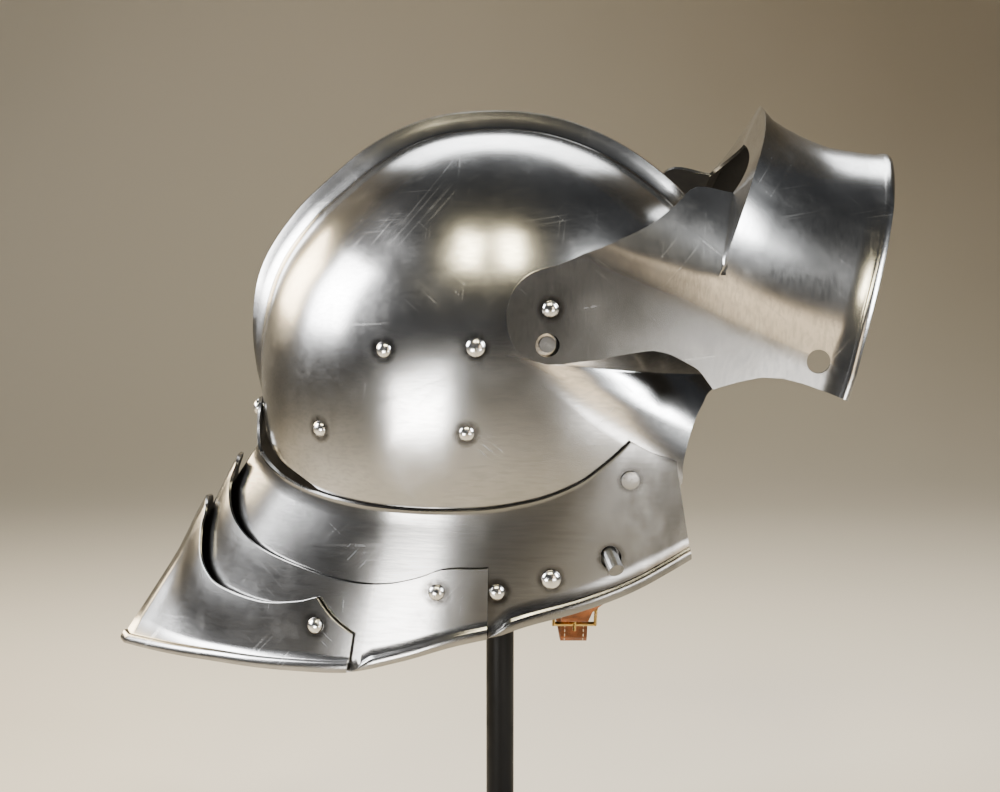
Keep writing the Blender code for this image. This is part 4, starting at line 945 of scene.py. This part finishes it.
class SALLET_OT_visor(bpy.types.Operator):
    """Visor, raised on its pivots"""

    bl_idname = "sallet.visor"
    bl_label = "Visor"

    def execute(self, context):
        look = context.scene.sallet_look
        turn = Matrix.Translation(PIVOT) @ Matrix.Rotation(-VISOR_LIFT, 4, "Y")
        face = visor_face_columns()
        patches = [[[turn @ p for p in column] for column in columns]
                   for columns in (face, visor_side_columns(face[-1]))]
        finish = brushed_steel("visor_steel", look, (1.3, 0.5, 0.5),
                               [node_axis("visor_pivot_right")[0]])
        made = new_piece("visor_plate", plate_mesh("visor_plate", patches, PIVOT), finish,
                         "visor", "steel_plate", "visor")
        dress_plate(made, blackened_inside_and_shade())
        holes = []
        for side_name, side in SIDES.items():
            stud = Vector((BOWL_REACH * UPPER_STUD[0], side * BOWL_HALF_WIDTH,
                           EAR.z + BOWL_REACH * UPPER_STUD[1]))
            holes.append((stud, Vector((0, side, 0)), CATCH_HOLE_RADIUS))
            tip, axis = pin_end(side_name)
            level = visor_half_width(tip.z - PIVOT.z) - PLATE / 2
            met = tip + axis * ((side * level - tip.y) / axis.y)
            raised = PIVOT + Matrix.Rotation(-VISOR_LIFT, 3, "Y") @ (met - PIVOT)
            holes.append((raised, Vector((0, side, 0)), CATCH_HOLE_RADIUS))
        cut_holes(made, holes)
        return {"FINISHED"}


class SALLET_OT_rivets(bpy.types.Operator):
    """Domed and flat rivets, with their inner heads"""

    bl_idname = "sallet.rivets"
    bl_label = "Rivets"

    def execute(self, context):
        sizes = context.scene.sallet_sizes
        bright = polished_steel("rivet_steel", 0.72, 0.16)
        dull = polished_steel("flat_rivet_steel", 0.34, 0.34)
        names = [f"{name}_{side}" for name in DOMED + SPRUNG + ("cheek_rivet",) for side in SIDES]
        for node in names + ["back_rivet"]:
            middle, axis, low, high = node_axis(node)
            radius, height = sizes.dome_radius, sizes.dome_height
            if node.startswith(SPRUNG):
                radius, height = sizes.spring_radius, sizes.spring_radius * SPRING_HEAD_RISE
            flat = node.startswith("cheek")
            if flat:
                radius, height = sizes.dome_radius * FLAT_HEAD_SPREAD, FLAT_HEAD_HEIGHT
                head = [(0, high), (radius * 0.86, high), (radius * 0.96, high - 0.15 * MM),
                        (radius, high - 0.5 * MM), (radius, high - height)]
            else:
                head = [(radius * math.sin(a), high - height * (1 - math.cos(a)))
                        for a in (math.radians(9 * k) for k in range(10))]
                head += [(radius, high - height * 0.95), (radius, high - height)]
            profile = head + [(SHANK_RADIUS, high - height), (SHANK_RADIUS, low + PEEN_HEIGHT),
                              (PEEN_RADIUS, low + PEEN_HEIGHT),
                              (PEEN_RADIUS * 0.9, low + PEEN_HEIGHT * 0.55),
                              (PEEN_RADIUS * 0.5, low + PEEN_HEIGHT * 0.12), (0, low)]
            body = "middle_lame" if node.startswith("rear_lame") else "helmet"
            new_piece("head_" + node, turned_mesh("head_" + node, profile, middle, axis),
                      dull if flat else bright, body, "worn_steel" if flat else "bright_steel", node)
        return {"FINISHED"}


def dress_node(node, finish, edge, angle):
    """Finish and softened edges for one of the part's own pieces."""
    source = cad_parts[node]
    source.data.materials.clear()
    source.data.materials.append(finish)
    soften(source, "soft edges", edge, angle)
    source.data.shade_smooth()


class SALLET_OT_catches(bpy.types.Operator):
    """Leaf springs with their studs"""

    bl_idname = "sallet.catches"
    bl_label = "Catches"

    def execute(self, context):
        dark = polished_steel("catch_steel", 0.2, 0.36)
        for side_name in SIDES:
            dress_node("upper_catch_" + side_name, dark, RIM_SOFTNESS, 50)
            dress_node("lower_catch_" + side_name, dark, RIM_SOFTNESS, 50)
        return {"FINISHED"}


def add_stitch(bm, start, end, out, radius):
    """One stitch: a thread that dips into the leather at both ends."""
    along = (end - start).normalized()
    turn = Matrix((along, out.cross(along), out)).transposed().to_4x4()
    size = Matrix.Diagonal(((end - start).length / 2, radius, radius, 1))
    bmesh.ops.create_icosphere(bm, subdivisions=2, radius=1,
                               matrix=Matrix.Translation((start + end) / 2) @ turn @ size)


class SALLET_OT_stand(bpy.types.Operator):
    """Foot, pole and cap of the stand"""

    bl_idname = "sallet.stand"
    bl_label = "Stand"

    def execute(self, context):
        look = context.scene.sallet_look
        paint = plain_finish("black_paint", look.paint, 0.0, 0.42, 900, 0.1, 0.14)
        plastic = plain_finish("black_plastic", (0.02, 0.02, 0.02), 0.0, 0.55, 600, 0.25)
        up = Vector((0, 0, 1))
        for node, edge in (("stand_base", BASE_EDGE), ("stand_pole", POLE_EDGE)):
            low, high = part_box(node)
            radius = (high.x - low.x) / 2
            profile = [(0, high.z)]
            profile += [(radius - edge + edge * math.sin(a), high.z - edge + edge * math.cos(a))
                        for a in (math.radians(15 * k) for k in range(7))]
            profile += [(radius, low.z + 0.4 * MM), (radius - 0.4 * MM, low.z), (0, low.z)]
            new_piece(node + "_turned", turned_mesh(node + "_turned", profile, Vector((0, 0, 0)), up, 128),
                      paint, "helmet", "black_paint", node)
        low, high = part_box("stand_cap")
        radius = (high.x - low.x) / 2
        drop = BOWL_HALF_WIDTH - math.sqrt(BOWL_HALF_WIDTH**2 - radius**2)
        profile = [(radius * s, high.z - drop * s * s) for s in (k / 12 for k in range(12))]
        profile += [(radius - 0.5 * MM, high.z - drop * 0.97), (radius, high.z - drop - 0.5 * MM),
                    (radius, low.z + 6 * MM), (radius * 0.9, low.z + 4.2 * MM),
                    (10.4 * MM, low.z), (0, low.z)]
        new_piece("stand_cap_moulded", turned_mesh("stand_cap_moulded", profile, Vector((0, 0, 0)), up, 96),
                  plastic, "helmet", "black_plastic", "stand_cap")
        return {"FINISHED"}


class SALLET_OT_strap(bpy.types.Operator):
    """Chin strap with its stitching, and the buckle"""

    bl_idname = "sallet.strap"
    bl_label = "Chin strap"

    def execute(self, context):
        look, sizes = context.scene.sallet_look, context.scene.sallet_sizes
        leather = brown_leather("strap_leather", look.leather)
        brass = plain_finish("buckle_brass", look.brass, 1.0, 0.28, 500)
        for node in ("chin_strap_right", "chin_strap_left"):
            dress_node(node, leather, 0.45 * MM, 60)
        for node in ("buckle_frame", "buckle_prong"):
            dress_node(node, brass, 0.2 * MM, 30)
        self.sew(plain_finish("linen_thread", (0.62, 0.5, 0.34), 0.0, 0.8, 2500, 0.4), sizes.stitch_pitch)
        return {"FINISHED"}

    def sew(self, finish, pitch):
        """Two rows of stitches on the leather that shows under the cheek."""
        bpy.context.view_layer.update()
        straps = [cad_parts["chin_strap_" + side] for side in SIDES]
        bm = bmesh.new()
        for row in (-1, 1):
            x = STRAP_PLACE + row * (STRAP_WIDTH / 2 - SEAM_INSET)
            for k in range(int(STITCH_RUN / pitch)):
                start, end = [self.touch(straps, x, STITCH_TOP - pitch * (k + share))
                              for share in (0, STITCH_SHARE)]
                if start and end and (start[0] - end[0]).length < pitch * 1.6:
                    add_stitch(bm, start[0], end[0], start[1], THREAD_RADIUS)
        new_piece("strap_stitches", mesh_of(bm, "strap_stitches"), finish, "helmet", "brown_leather")

    def touch(self, straps, x, z):
        """Nearest leather seen from the right side at a place, with its outward direction."""
        hits = []
        for strap in straps:
            met, place, normal, _ = strap.ray_cast(Vector((x, -BOWL_HALF_WIDTH, z)), Vector((0, 1, 0)))
            if met:
                hits.append((place.copy(), normal.copy()))
        return min(hits, key=lambda hit: hit[0].y) if hits else None


class SALLET_OT_stage(bpy.types.Operator):
    """Floor, lights and camera"""

    bl_idname = "sallet.stage"
    bl_label = "Stage"

    def execute(self, context):
        scene = context.scene
        sizes, look = scene.sallet_sizes, scene.sallet_look
        bm = bmesh.new()
        sweep = [(-FLOOR_REACH, 0.0), (SWEEP_START, 0.0)]
        sweep += [(SWEEP_START + SWEEP_RADIUS * math.sin(a), SWEEP_RADIUS - SWEEP_RADIUS * math.cos(a))
                  for a in (math.radians(90 * k / 12) for k in range(1, 13))]
        sweep.append((SWEEP_START + SWEEP_RADIUS, SWEEP_TOP))
        rows = [[bm.verts.new((x, y, z)) for x in (-FLOOR_REACH, FLOOR_REACH)] for y, z in sweep]
        for near, far in zip(rows, rows[1:]):
            bm.faces.new((near[0], near[1], far[1], far[0]))
        floor = bpy.data.objects.new("floor", mesh_of(bm, "floor"))
        scene.collection.objects.link(floor)
        floor.data.materials.append(plain_finish("floor_paper", look.floor, 0.0, 0.85, 3, 0.02))
        for name, place, target, size, power, colour in STUDIO_LIGHTS:
            self.light(name, place, target, size, power, colour)
        world = bpy.data.worlds.new("studio")
        scene.world = world
        world.use_nodes = True
        backdrop = world.node_tree.nodes["Background"]
        backdrop.inputs[0].default_value = WORLD_COLOUR
        backdrop.inputs[1].default_value = WORLD_STRENGTH
        camera = bpy.data.objects.new("camera", bpy.data.cameras.new("camera"))
        scene.collection.objects.link(camera)
        away = Vector((0, -math.cos(sizes.view_rise), math.sin(sizes.view_rise)))
        camera.location = VIEW_TARGET + away * sizes.view_distance
        camera.rotation_euler = (-away).to_track_quat("-Z", "Y").to_euler()
        camera.data.sensor_width = SENSOR_WIDTH
        camera.data.lens = LENS
        camera.data.clip_end = 50
        scene.camera = camera
        return {"FINISHED"}

    def light(self, name, place, target, size, power, colour):
        data = bpy.data.lights.new(name, "AREA")
        data.shape = "RECTANGLE"
        data.size, data.size_y = size
        data.energy = power
        data.color = colour
        data.spread = LIGHT_SPREAD
        made = bpy.data.objects.new(name, data)
        bpy.context.scene.collection.objects.link(made)
        made.location = place
        made.rotation_euler = (Vector(target) - Vector(place)).to_track_quat("-Z", "Y").to_euler()


class SALLET_PT_panel(bpy.types.Panel):
    """Lists the sallet's pieces"""

    bl_label = "Sallet"
    bl_space_type = "VIEW_3D"
    bl_region_type = "UI"
    bl_category = "Sallet"

    def draw(self, context):
        for group in (context.scene.sallet_sizes, context.scene.sallet_look):
            for key in group.__annotations__:
                self.layout.prop(group, key)
        for operator in OPERATORS:
            self.layout.operator(operator.bl_idname)


OPERATORS = (SALLET_OT_bowl, SALLET_OT_lames, SALLET_OT_visor, SALLET_OT_rivets, SALLET_OT_catches,
             SALLET_OT_strap, SALLET_OT_stand, SALLET_OT_stage)
CLASSES = (SalletSizes, SteelLook, *OPERATORS, SALLET_PT_panel)


def register():
    for each in CLASSES:
        bpy.utils.register_class(each)
    bpy.types.Scene.sallet_sizes = bpy.props.PointerProperty(type=SalletSizes)
    bpy.types.Scene.sallet_look = bpy.props.PointerProperty(type=SteelLook)


def unregister():
    del bpy.types.Scene.sallet_look
    del bpy.types.Scene.sallet_sizes
    for each in reversed(CLASSES):
        bpy.utils.unregister_class(each)


def main():
    register()
    bpy.ops.sallet.stage()
    bpy.ops.sallet.bowl()
    bpy.ops.sallet.lames()
    bpy.ops.sallet.visor()
    bpy.ops.sallet.rivets()
    bpy.ops.sallet.catches()
    bpy.ops.sallet.strap()
    bpy.ops.sallet.stand()


if __name__ == "__main__":
    main()
